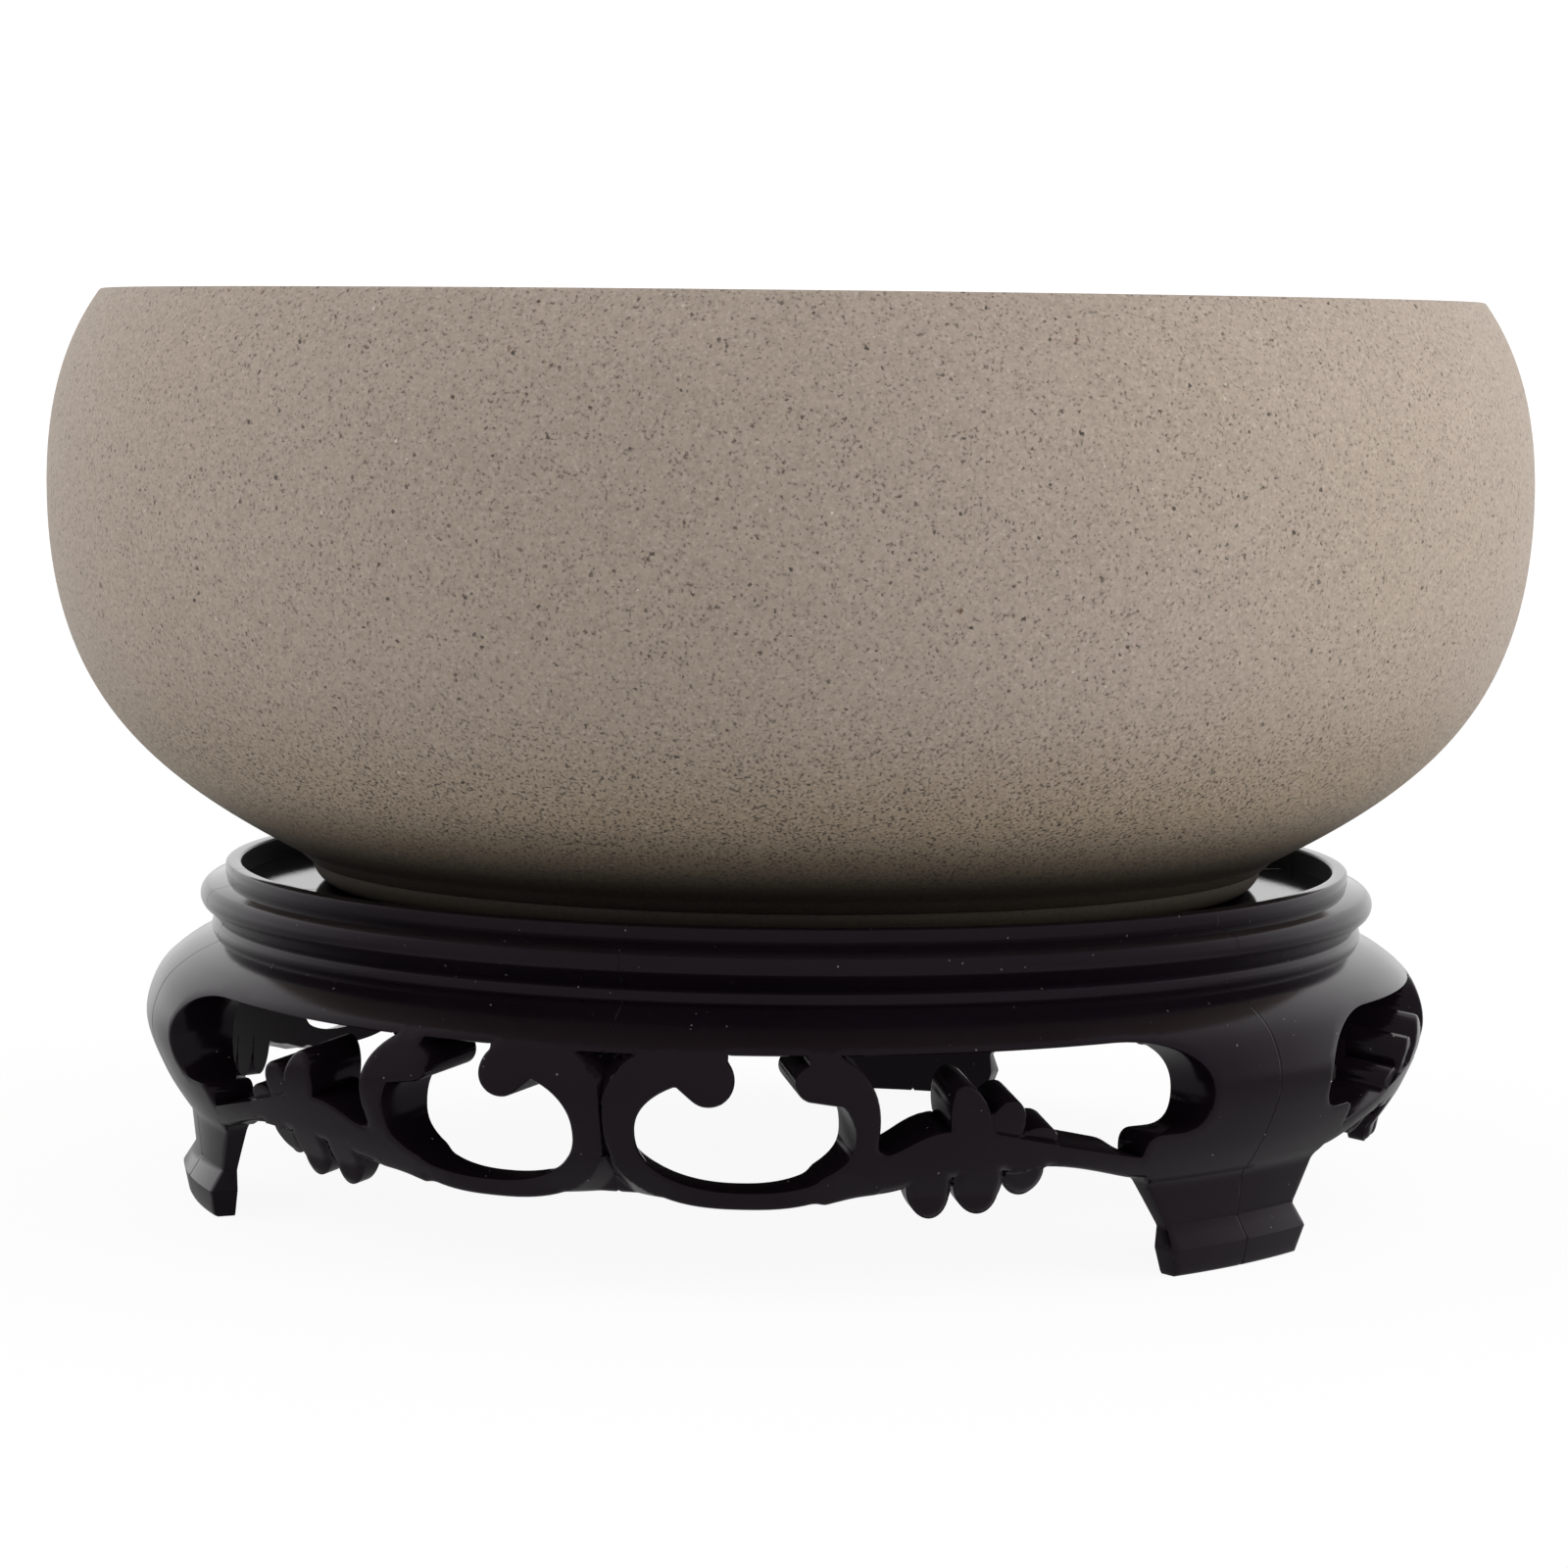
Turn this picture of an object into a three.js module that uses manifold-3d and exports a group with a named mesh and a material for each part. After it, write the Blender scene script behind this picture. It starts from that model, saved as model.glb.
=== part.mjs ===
// A round stoneware planter bowl on a low openwork stand with three legs.
// The stand is a bulging drum in six moulded segments: three right-hand ones and three mirror images.
// Millimetres, +Z up, origin on the floor under the middle of the bowl.
// Angles run from the front (-Y) towards +X, so an apron faces the front and a leg stands at the back.

import * as THREE from 'three';
import { mergeVertices } from 'three/addons/utils/BufferGeometryUtils.js';
import Module from 'manifold-3d';

const wasm = await Module();
wasm.setup();

// Bowl, heights above its own foot
const BOWL_HEIGHT = 103.1;
const BELLY_RADIUS = 130;
const BELLY_HEIGHT = 69.7; // widest place
const BELLY_UNDER = 36; // how far the side stays steep below the belly
const BELLY_OVER = 15; // and above it
const RIM_RADIUS = 120.7;
const RIM_LEAN = 5.8; // slope of the side under the rim, outwards
const RIM_DROP = 8; // and downwards
const FOOT_RADIUS = 84;
const FOOT_HEIGHT = 4.2; // nearly upright side of the foot
const FOOT_BEVEL = 3.9; // rounding of the foot's lower edge
const FOOT_RING = 12; // breadth of the ring that the bowl stands on
const FOOT_RECESS = 3;
const COVE_REACH = 3; // hollow between foot and body
const COVE_RISE = 2;
const FLARE_REACH = 26; // slope of the side above the cove, outwards
const FLARE_RISE = 13.6; // and upwards
const BOWL_WALL = 6;
const RIM_BREADTH = 5;
const FLOOR_THICKNESS = 8;
const DRAIN_RADIUS = 7;

// Fits
const SEAT_GAP = 0.3; // bowl above its ledge
const SEAM_GAP = 0.3; // between neighbouring stand segments
const TONGUE_GAP = 0.3; // around each tongue in its slot

// Ring of the stand, measured from the bowl's foot outwards and from the top downwards
const FOOT_MARGIN = 12.5; // from the bowl's foot to the lip
const LIP_WALL = 2.75;
const LIP_HEIGHT = 1.9; // upright outer side of the lip
const LEDGE_DROP = 3.85; // ledge below the top of the lip
const LEDGE_WIDTH = 26;
const LEDGE_THICKNESS = 3;
const RING_WALL = 6.5;
const GROOVE_DEPTH = 0.9; // groove under the lip
const BEAD_RADIUS = 2.55; // half the height of the large bead
const BEAD_REACH = 4.4; // large bead outside the lip
const SMALL_BEAD_RADIUS = 1.9;
const SMALL_BEAD_REACH = 2.4;
const BEAD_TURN = 1.3; // half the arc of a bead, in radians
const RING_HEIGHT = 12.05; // top of the lip above the shoulder

// Drum below the ring: heights above the floor, reach outside the lip
const BULGE_REACH = 13.8;
const BULGE_HEIGHT = 31;
const BROW_REACH = 12;
const BROW_RISE = 7.2; // above the bulge
const EAVE_REACH = 7.3;
const EAVE_DROP = 3; // below the shoulder
const SHOULDER_REACH = 1.4;
const SHOULDER_HEIGHT = 45.8;
const SHOULDER_LAP = 1; // depth to which ring and drum run into each other
const HAUNCH_REACH = 10.7;
const HAUNCH_RISE = 6.4; // above the knee
const KNEE_REACH = 6.7;
const KNEE_HEIGHT = 16;
const ANKLE_REACH = 5.2;
const ANKLE_HEIGHT = 8.1;
const TOE_REACH = 7.4;
const TOE_HEIGHT = 4.6;
const SOLE_REACH = 6.4;
const DRUM_BORE_REACH = 2.8;
const SKIRT_EDGE = 39.2; // lower edge of the skirt at the middle of an apron
const SKIRT_RISE = 1.3; // how much higher that edge is at the legs

// Scroll on each half of an apron, measured along the drum from the apron's middle
const SCROLL_WIDTH = 44.2;
const SCROLL_DROP = 25.1; // below the edge of the skirt
const SCROLL_TUCK = 3; // hidden behind the skirt
const SCROLL_INNER_BAND = 5.2;
const SCROLL_OUTER_BAND = 4;
const SCROLL_LOW_BAND = 3;
const SCROLL_TOP_BAND = 3.2;
const SCROLL_SQUARENESS = 2.6; // exponent of the outer outline, 2 is an ellipse
const HOLE_SQUARENESS = 2.3;
const HOOK_GAP = 12.8; // opening between the two hooks
const HOOK_PLACE = 20; // where that opening starts
const BULB_RADIUS = 4.1;
const BULB_SWELL = 1.2; // how far the bulb stands out into the opening
const BULB_DROP = 3.7; // middle of the bulb below the skirt
const NECK_REACH = 6.2; // neck of the bulb, back along the drum
const NECK_RISE = 5; // and upwards
const BUD_RADIUS = 2.9; // rounded end of the shorter hook
const BUD_SWELL = 2.1; // how far it stands out into the opening
const BUD_DROP = 3.9; // its middle below the skirt
const BUD_REACH = 4.9; // neck of the bud, on along the drum
const BUD_DIP = 0.7; // and downwards
const WEB_REACH = 6.4; // plate that closes the corner between scroll, skirt and seam
const WEB_DROP = 8; // its lower end below the skirt
const WEB_RECESS = 2.4; // its face behind the brow

// Vine with its leaf, from the scroll to the leg
const VINE_ROOT = 17.5; // lowest point of the vine's middle above the floor, inside the scroll
const VINE_RISE = 6; // how far it climbs to the leaf
const VINE_ROOT_HALF = 3.5;
const VINE_LEAF_HALF = 4.2;
const VINE_TIP_HALF = 1.9;
const VINE_LEVEL = 14.2; // how far it runs level beyond the middle of the leaf
const VINE_DIP = 5.6; // middle of its end below the floor of the opening
const LEAF_PLACE = 15.8; // middle of the leaf beyond the scroll
// Each lobe: foot of the lobe and its tip, from the middle of the leaf, and its breadth
const LEAF_LOBES = [
  { from: [0.4, -2], tip: [-2.7, 11.4], breadth: 7 },
  { from: [2.6, -1.5], tip: [6.3, 8.6], breadth: 6.8 },
  { from: [5, -2.2], tip: [14.3, 2.6], breadth: 7 },
  { from: [-8, -0.5], tip: [-5.3, -10.9], breadth: 7.6 },
  { from: [-0.2, 0.5], tip: [3.6, -10.3], breadth: 8.4 },
  { from: [7.6, -0.5], tip: [12.6, -7.4], breadth: 7.2 },
];

const PULL_RISE = 0.17; // how steeply the walls of scroll, vine and leaf rise inwards

// Leg, measured sideways along the drum from its middle
const LEG_HALF = 15.1; // narrowest part beside the opening
const LEG_WAIST_HEIGHT = 30.4;
const ARCH_REACH = 18; // from there to where the opening meets the skirt
const ARCH_FOLLOW = 10; // how far the arch follows the skirt before it turns down
const WAIST_OVER = 6; // how far the leg's edge stays upright above its waist
const WAIST_UNDER = 4; // and below it
const NOTCH_FLOOR = 24.8; // bottom of the opening beside the leg
const NOTCH_CORNER = 6; // rounding into that bottom
const BRACKET_HALF = 27.2; // outer end of the bracket that takes the vine
const BRACKET_CORNER = 2.6;
const KNEE_HALF = 23.6;
const ANKLE_HALF = 17.8;
const TOE_HALF = 18.2;
const SOLE_HALF = 16.6;

// Tongues that join the segments, inside the ring
const TONGUE_LENGTH = 6;
const TONGUE_BREADTH = 3;
const TONGUE_HEIGHT = 4.5;
const TONGUE_INSET = 1.9; // from the bore of the ring
const TONGUE_BURIED = 3; // root of the tongue in its own segment

// Facets
const BOWL_SIDES = 60;
const BOWL_STEPS = 5; // along each curve of the bowl's profile
const SEGMENT_STEPS = 10;
const BULGE_STEPS = 10;
const BEAD_STEPS = 4;
const CURVE_STEPS = 5;
const OUTLINE_STEPS = 26;
const OVERRUN = 1; // how far cuts run past what they cut

// Places worked out from the sizes above
const LEGS = 3;
const SEGMENT_ANGLE = Math.PI / LEGS;
const LIP_INNER = FOOT_RADIUS + FOOT_MARGIN;
const LIP_RADIUS = LIP_INNER + LIP_WALL;
const RING_BORE = LIP_RADIUS - RING_WALL;
const BULGE_RADIUS = LIP_RADIUS + BULGE_REACH;
const DRUM_BORE = LIP_RADIUS + DRUM_BORE_REACH;
const STAND_HEIGHT = SHOULDER_HEIGHT + RING_HEIGHT;
const LEDGE_TOP = STAND_HEIGHT - LEDGE_DROP;
const SEGMENT_ARC = BULGE_RADIUS * SEGMENT_ANGLE;

const GLAZE = new THREE.MeshStandardMaterial({ color: '#a99c8a', roughness: 0.85, metalness: 0 });
const PLASTIC = new THREE.MeshStandardMaterial({ color: '#17141a', roughness: 0.32, metalness: 0 });

// Solid from a closed geometry, keeping only its positions.
function solid(geometry) {
  geometry.deleteAttribute('normal');
  geometry.deleteAttribute('uv');
  const merged = mergeVertices(geometry, 1e-5);
  return new wasm.Manifold(new wasm.Mesh({
    numProp: 3,
    vertProperties: new Float32Array(merged.attributes.position.array),
    triVerts: new Uint32Array(merged.index.array),
  }));
}

function geometryOf(body) {
  const mesh = body.getMesh();
  const geometry = new THREE.BufferGeometry();
  geometry.setAttribute('position', new THREE.BufferAttribute(new Float32Array(mesh.vertProperties), 3));
  geometry.setIndex(new THREE.BufferAttribute(new Uint32Array(mesh.triVerts), 1));
  geometry.computeVertexNormals();
  return geometry;
}

// Move every point of a geometry.
function remap(geometry, place) {
  const position = geometry.attributes.position;
  for (let i = 0; i < position.count; i += 1) {
    position.setXYZ(i, ...place(position.getX(i), position.getY(i), position.getZ(i)));
  }
  return geometry;
}

function around(radius, angle, height) {
  return [radius * Math.sin(angle), -radius * Math.cos(angle), height];
}

// Profile of radius and height, swept round the axis from one angle to another.
function sweep(points, from, to, steps) {
  const shape = new THREE.Shape(points.map(([radius, height]) => new THREE.Vector2(radius, height)));
  const geometry = new THREE.ExtrudeGeometry(shape, { depth: to - from, steps, bevelEnabled: false });
  return solid(remap(geometry, (radius, height, angle) => around(radius, to - angle, height)));
}

// Outer radius of the drum at a height.
function drumRadius(height) {
  const face = drumFace();
  const above = face.findIndex((point) => point[1] >= height);
  if (above < 1) {
    return above === 0 ? face[0][0] : face[face.length - 1][0];
  }
  const [lowRadius, low] = face[above - 1];
  const [highRadius, high] = face[above];
  return lowRadius + ((highRadius - lowRadius) * (height - low)) / (high - low);
}

function extruded(shape, depth) {
  return new THREE.ExtrudeGeometry(shape, { depth, bevelEnabled: false, curveSegments: CURVE_STEPS });
}

// Outline drawn along the drum and carried through its wall towards the axis.
function pierceRound(shape) {
  const inner = RING_BORE;
  const outer = BULGE_RADIUS / Math.cos(SEGMENT_ANGLE / 2) + BULGE_REACH;
  const place = (along, height, depth) => around(inner + depth, along / BULGE_RADIUS, height);
  return solid(remap(extruded(shape, outer - inner), place));
}

// Outline drawn along the drum and carried straight through its wall, as the mould of a segment opens.
function pierceStraight(shape) {
  const inside = 2 * BULGE_REACH;
  const outside = BULGE_REACH;
  const place = (along, height, depth) => {
    const [x, y, z] = around(drumRadius(height), along / BULGE_RADIUS, height);
    const out = depth - inside;
    const half = SEGMENT_ANGLE / 2;
    return [x + out * Math.sin(half), y - out * Math.cos(half), z - out * PULL_RISE];
  };
  return solid(remap(extruded(shape, inside + outside), place));
}

// Points of a loop between an ellipse and a rectangle.
function roundLoop(left, right, low, high, squareness) {
  const points = [];
  for (let i = 0; i < OUTLINE_STEPS; i += 1) {
    const turn = (2 * Math.PI * i) / OUTLINE_STEPS;
    const x = Math.sign(Math.cos(turn)) * Math.abs(Math.cos(turn)) ** (2 / squareness);
    const y = Math.sign(Math.sin(turn)) * Math.abs(Math.sin(turn)) ** (2 / squareness);
    points.push(new THREE.Vector2(
      (left + right) / 2 + (x * (right - left)) / 2,
      (low + high) / 2 + (y * (high - low)) / 2,
    ));
  }
  return points;
}

function disc(x, y, radius) {
  return new THREE.Shape().absarc(x, y, radius, 0, 2 * Math.PI);
}

// Bar with square ends from a point, over a reach and a rise.
function bar(x, y, reach, rise, half) {
  const length = Math.hypot(reach, rise);
  const across = (half * -rise) / length;
  const up = (half * reach) / length;
  return new THREE.Shape([
    new THREE.Vector2(x - across, y - up),
    new THREE.Vector2(x + reach - across, y + rise - up),
    new THREE.Vector2(x + reach + across, y + rise + up),
    new THREE.Vector2(x + across, y + up),
  ]);
}

function skirtEdge(along) {
  return SKIRT_EDGE + SKIRT_RISE * (along / SEGMENT_ARC) ** 2;
}

// Outer side of the ring from the top of the lip down to the small bead, as radius and height.
function ringFace() {
  const bead = (middle, reach, radius) => {
    const points = [];
    for (let i = 0; i <= BEAD_STEPS; i += 1) {
      const turn = BEAD_TURN * (1 - (2 * i) / BEAD_STEPS);
      points.push([LIP_RADIUS + reach - radius * (1 - Math.cos(turn)), middle + radius * Math.sin(turn)]);
    }
    return points;
  };
  const grooveTop = STAND_HEIGHT - LIP_HEIGHT;
  const beadMiddle = grooveTop - GROOVE_DEPTH - BEAD_RADIUS;
  const smallMiddle = beadMiddle - BEAD_RADIUS - SMALL_BEAD_RADIUS;
  return [
    [LIP_RADIUS, STAND_HEIGHT],
    [LIP_RADIUS, grooveTop],
    [LIP_RADIUS - GROOVE_DEPTH, grooveTop - GROOVE_DEPTH],
    ...bead(beadMiddle, BEAD_REACH, BEAD_RADIUS),
    ...bead(smallMiddle, SMALL_BEAD_REACH, SMALL_BEAD_RADIUS),
  ];
}

function ringProfile() {
  const low = SHOULDER_HEIGHT - SHOULDER_LAP;
  return [
    [LIP_INNER, STAND_HEIGHT],
    [LIP_INNER, LEDGE_TOP],
    [LIP_INNER - LEDGE_WIDTH, LEDGE_TOP],
    [LIP_INNER - LEDGE_WIDTH, LEDGE_TOP - LEDGE_THICKNESS],
    [RING_BORE, LEDGE_TOP - LEDGE_THICKNESS],
    [RING_BORE, low],
    [LIP_RADIUS, low],
    ...ringFace().reverse(),
  ];
}

// Outer side of the drum from the sole up to the shoulder, as radius and height.
function drumFace() {
  const bulge = new THREE.SplineCurve([
    [KNEE_REACH, KNEE_HEIGHT],
    [HAUNCH_REACH, KNEE_HEIGHT + HAUNCH_RISE],
    [BULGE_REACH, BULGE_HEIGHT],
    [BROW_REACH, BULGE_HEIGHT + BROW_RISE],
    [EAVE_REACH, SHOULDER_HEIGHT - EAVE_DROP],
    [SHOULDER_REACH, SHOULDER_HEIGHT],
  ].map(([reach, height]) => new THREE.Vector2(LIP_RADIUS + reach, height)));
  return [
    [LIP_RADIUS + SOLE_REACH, 0],
    [LIP_RADIUS + TOE_REACH, TOE_HEIGHT],
    [LIP_RADIUS + ANKLE_REACH, ANKLE_HEIGHT],
    ...bulge.getPoints(BULGE_STEPS).map((point) => [point.x, point.y]),
  ];
}

// Wall of the drum with its plain bore, which narrows to the ring.
function drumProfile() {
  return [
    [DRUM_BORE, 0],
    ...drumFace(),
    [RING_BORE, SHOULDER_HEIGHT],
    [RING_BORE, SHOULDER_HEIGHT - SHOULDER_LAP],
    [DRUM_BORE, SKIRT_EDGE],
  ];
}

function skirt() {
  const shape = new THREE.Shape();
  const step = SEGMENT_ARC / SEGMENT_STEPS;
  shape.moveTo(0, STAND_HEIGHT);
  for (let i = 0; i <= SEGMENT_STEPS; i += 1) {
    shape.lineTo(i * step, skirtEdge(i * step));
  }
  for (let i = SEGMENT_STEPS; i > 0; i -= 1) {
    shape.lineTo(i * step, STAND_HEIGHT);
  }
  return pierceRound(shape);
}

function scroll() {
  const low = SKIRT_EDGE - SCROLL_DROP;
  const high = SKIRT_EDGE + SCROLL_TUCK;
  const ring = new THREE.Shape(roundLoop(0, SCROLL_WIDTH, low, high, SCROLL_SQUARENESS));
  const hole = new THREE.Shape(roundLoop(
    SCROLL_INNER_BAND,
    SCROLL_WIDTH - SCROLL_OUTER_BAND,
    low + SCROLL_LOW_BAND,
    SKIRT_EDGE - SCROLL_TOP_BAND,
    HOLE_SQUARENESS,
  ));
  const middle = (low + SKIRT_EDGE) / 2;
  const gap = new THREE.Shape([
    new THREE.Vector2(HOOK_PLACE, middle),
    new THREE.Vector2(HOOK_PLACE + HOOK_GAP, middle),
    new THREE.Vector2(HOOK_PLACE + HOOK_GAP, SKIRT_EDGE + SCROLL_TUCK + OVERRUN),
    new THREE.Vector2(HOOK_PLACE, SKIRT_EDGE + SCROLL_TUCK + OVERRUN),
  ]);
  const bulb = [HOOK_PLACE + BULB_SWELL - BULB_RADIUS, SKIRT_EDGE - BULB_DROP];
  const bud = [HOOK_PLACE + HOOK_GAP - BUD_SWELL + BUD_RADIUS, SKIRT_EDGE - BUD_DROP];
  const ends = [
    disc(...bulb, BULB_RADIUS),
    bar(...bulb, -NECK_REACH, NECK_RISE, BULB_RADIUS),
    disc(...bud, BUD_RADIUS),
    bar(...bud, BUD_REACH, -BUD_DIP, BUD_RADIUS),
  ];
  const open = pierceStraight(ring).subtract(pierceStraight(hole)).subtract(pierceStraight(gap));
  return ends.reduce((sum, end) => sum.add(pierceStraight(end)), open);
}

function web(from) {
  const outer = LIP_RADIUS + BROW_REACH - WEB_RECESS;
  return sweep([
    [DRUM_BORE, SKIRT_EDGE - WEB_DROP],
    [outer, SKIRT_EDGE - WEB_DROP],
    [outer, SKIRT_EDGE + SHOULDER_LAP],
    [DRUM_BORE, SKIRT_EDGE + SHOULDER_LAP],
  ], from, WEB_REACH / BULGE_RADIUS, 1);
}

// Stroke of changing breadth through points of place, height and half breadth.
function stroke(points) {
  const edge = (side) => new THREE.SplineCurve(
    points.map(([along, height, half]) => new THREE.Vector2(along, height + side * half)),
  ).getPoints(points.length * 2);
  return pierceStraight(new THREE.Shape([...edge(-1), ...edge(1).reverse()]));
}

function leafMiddle() {
  return [SCROLL_WIDTH + LEAF_PLACE, VINE_ROOT + VINE_RISE];
}

function vine() {
  const [leafAlong, leafHeight] = leafMiddle();
  return stroke([
    [SCROLL_WIDTH - 2 * SCROLL_OUTER_BAND, VINE_ROOT, VINE_ROOT_HALF / 2],
    [SCROLL_WIDTH + SCROLL_OUTER_BAND / 2, VINE_ROOT + VINE_RISE / 2, VINE_ROOT_HALF],
    [leafAlong - LEAF_PLACE / 4, leafHeight, VINE_LEAF_HALF],
    [leafAlong + VINE_LEVEL, leafHeight - VINE_TIP_HALF / 2, VINE_TIP_HALF],
    [SEGMENT_ARC - BRACKET_HALF, NOTCH_FLOOR - VINE_DIP, VINE_TIP_HALF],
    [SEGMENT_ARC - KNEE_HALF, NOTCH_FLOOR - VINE_DIP, VINE_TIP_HALF],
  ]);
}

function leafLobe({ from, tip, breadth }) {
  const [along, height] = leafMiddle();
  const length = Math.hypot(tip[0] - from[0], tip[1] - from[1]);
  const tilt = Math.atan2(tip[1] - from[1], tip[0] - from[0]);
  const shape = new THREE.Shape().absellipse(
    along + (from[0] + tip[0]) / 2,
    height + (from[1] + tip[1]) / 2,
    length / 2,
    breadth / 2,
    0,
    2 * Math.PI,
    false,
    tilt,
  );
  return pierceStraight(shape);
}

// Half a leg: arch of the opening, bracket that takes the vine, knee, ankle and toe.
function halfLeg() {
  const at = (side) => SEGMENT_ARC - side;
  const archEnd = LEG_HALF + ARCH_REACH;
  const archTop = skirtEdge(at(archEnd));
  const shape = new THREE.Shape();
  shape.moveTo(SEGMENT_ARC, STAND_HEIGHT);
  shape.lineTo(at(archEnd), STAND_HEIGHT);
  shape.lineTo(at(archEnd), archTop);
  shape.bezierCurveTo(
    at(archEnd - ARCH_FOLLOW), archTop,
    at(LEG_HALF), LEG_WAIST_HEIGHT + WAIST_OVER,
    at(LEG_HALF), LEG_WAIST_HEIGHT,
  );
  shape.bezierCurveTo(
    at(LEG_HALF), LEG_WAIST_HEIGHT - WAIST_UNDER,
    at(LEG_HALF + NOTCH_CORNER / 3), NOTCH_FLOOR,
    at(LEG_HALF + NOTCH_CORNER), NOTCH_FLOOR,
  );
  shape.lineTo(at(BRACKET_HALF - BRACKET_CORNER), NOTCH_FLOOR);
  shape.quadraticCurveTo(at(BRACKET_HALF), NOTCH_FLOOR, at(BRACKET_HALF), NOTCH_FLOOR - BRACKET_CORNER);
  shape.lineTo(at(BRACKET_HALF), NOTCH_FLOOR - VINE_DIP);
  shape.lineTo(at(KNEE_HALF), KNEE_HEIGHT);
  shape.lineTo(at(ANKLE_HALF), ANKLE_HEIGHT);
  shape.lineTo(at(TOE_HALF), TOE_HEIGHT);
  shape.lineTo(at(SOLE_HALF), 0);
  shape.lineTo(at(SOLE_HALF), -OVERRUN);
  shape.lineTo(SEGMENT_ARC, -OVERRUN);
  return pierceRound(shape);
}

// Tongue across the seam at an angle, towards larger or smaller angles, or with clearance the slot for it.
function tongue(seam, way, clearance) {
  const radius = RING_BORE + TONGUE_INSET;
  const low = SHOULDER_HEIGHT - clearance;
  const high = SHOULDER_HEIGHT + TONGUE_HEIGHT + clearance;
  const root = seam - (way * TONGUE_BURIED) / radius;
  const end = seam + (way * (TONGUE_LENGTH + clearance)) / radius;
  return sweep([
    [radius - clearance, low],
    [radius + TONGUE_BREADTH + clearance, low],
    [radius + TONGUE_BREADTH + clearance, high],
    [radius - clearance, high],
  ], Math.min(root, end), Math.max(root, end), 1);
}

// Segment from the middle of an apron to the middle of the leg on its right, without its joints.
function plainSegment() {
  const gap = SEAM_GAP / 2 / BULGE_RADIUS;
  const drum = sweep(drumProfile(), gap, SEGMENT_ANGLE - gap, SEGMENT_STEPS);
  const ring = sweep(ringProfile(), gap, SEGMENT_ANGLE - gap, SEGMENT_STEPS);
  const openwork = [skirt(), scroll(), vine(), halfLeg(), ...LEAF_LOBES.map(leafLobe)];
  const pattern = openwork.reduce((sum, piece) => sum.add(piece));
  return drum.intersect(pattern).add(web(gap)).add(ring);
}

function mirrored(geometry) {
  const twin = remap(geometry.clone(), (x, y, z) => [-x, y, z]);
  const index = twin.index;
  for (let i = 0; i < index.count; i += 3) {
    const second = index.getX(i + 1);
    index.setX(i + 1, index.getX(i + 2));
    index.setX(i + 2, second);
  }
  twin.computeVertexNormals();
  return twin;
}

// Bowl: outer side from the foot up to the rim, then down the inside to the drain hole.
function bowlGeometry() {
  const curve = (...corners) => new THREE.CubicBezierCurve(
    ...corners.map(([radius, height]) => new THREE.Vector2(radius, height)),
  ).getPoints(BOWL_STEPS);
  const round = FOOT_BEVEL * (1 - Math.SQRT1_2);
  const neck = FOOT_RADIUS + COVE_REACH;
  const neckHeight = FOOT_HEIGHT + COVE_RISE;
  const floor = FOOT_RECESS + FLOOR_THICKNESS;
  const innerBelly = BELLY_RADIUS - BOWL_WALL;
  const innerRim = RIM_RADIUS - RIM_BREADTH;
  const innerFoot = FOOT_RADIUS - BOWL_WALL;
  const points = [
    new THREE.Vector2(FOOT_RADIUS - FOOT_RING, 0),
    new THREE.Vector2(FOOT_RADIUS - FOOT_BEVEL, 0),
    new THREE.Vector2(FOOT_RADIUS - round, round),
    new THREE.Vector2(FOOT_RADIUS, FOOT_BEVEL),
    new THREE.Vector2(FOOT_RADIUS + COVE_REACH / 4, FOOT_HEIGHT),
    ...curve(
      [neck, neckHeight],
      [neck + FLARE_REACH, neckHeight + FLARE_RISE],
      [BELLY_RADIUS, BELLY_HEIGHT - BELLY_UNDER],
      [BELLY_RADIUS, BELLY_HEIGHT],
    ),
    ...curve(
      [BELLY_RADIUS, BELLY_HEIGHT],
      [BELLY_RADIUS, BELLY_HEIGHT + BELLY_OVER],
      [RIM_RADIUS + RIM_LEAN, BOWL_HEIGHT - RIM_DROP],
      [RIM_RADIUS, BOWL_HEIGHT],
    ).slice(1),
    ...curve(
      [innerRim, BOWL_HEIGHT],
      [innerRim + RIM_LEAN, BOWL_HEIGHT - RIM_DROP],
      [innerBelly, BELLY_HEIGHT + BELLY_OVER],
      [innerBelly, BELLY_HEIGHT],
    ),
    ...curve(
      [innerBelly, BELLY_HEIGHT],
      [innerBelly, BELLY_HEIGHT - BELLY_UNDER],
      [innerFoot + FLARE_REACH, floor + FLARE_RISE],
      [innerFoot, floor],
    ).slice(1),
    new THREE.Vector2(DRAIN_RADIUS, floor),
    new THREE.Vector2(DRAIN_RADIUS, FOOT_RECESS),
    new THREE.Vector2(FOOT_RADIUS - FOOT_RING, FOOT_RECESS),
    new THREE.Vector2(FOOT_RADIUS - FOOT_RING, 0),
  ];
  const lathe = new THREE.LatheGeometry(points, BOWL_SIDES);
  lathe.rotateX(Math.PI / 2);
  return geometryOf(solid(lathe));
}

function named(name, geometry, material) {
  const mesh = new THREE.Mesh(geometry, material);
  mesh.name = name;
  return mesh;
}

const planter = new THREE.Group();

const bowl = named('bowl', bowlGeometry(), GLAZE);
bowl.position.z = LEDGE_TOP + SEAT_GAP;
planter.add(bowl);

const plain = plainSegment();
const rightHand = geometryOf(plain.add(tongue(0, -1, 0)).add(tongue(SEGMENT_ANGLE, 1, 0)));
const leftHand = mirrored(geometryOf(
  plain.subtract(tongue(0, 1, TONGUE_GAP)).subtract(tongue(SEGMENT_ANGLE, -1, TONGUE_GAP)),
));
for (let leg = 0; leg < LEGS; leg += 1) {
  const third = new THREE.Group();
  third.rotation.z = leg * 2 * SEGMENT_ANGLE;
  third.add(named(`stand_right_${leg + 1}`, rightHand, PLASTIC));
  third.add(named(`stand_left_${leg + 1}`, leftHand, PLASTIC));
  planter.add(third);
}

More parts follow.
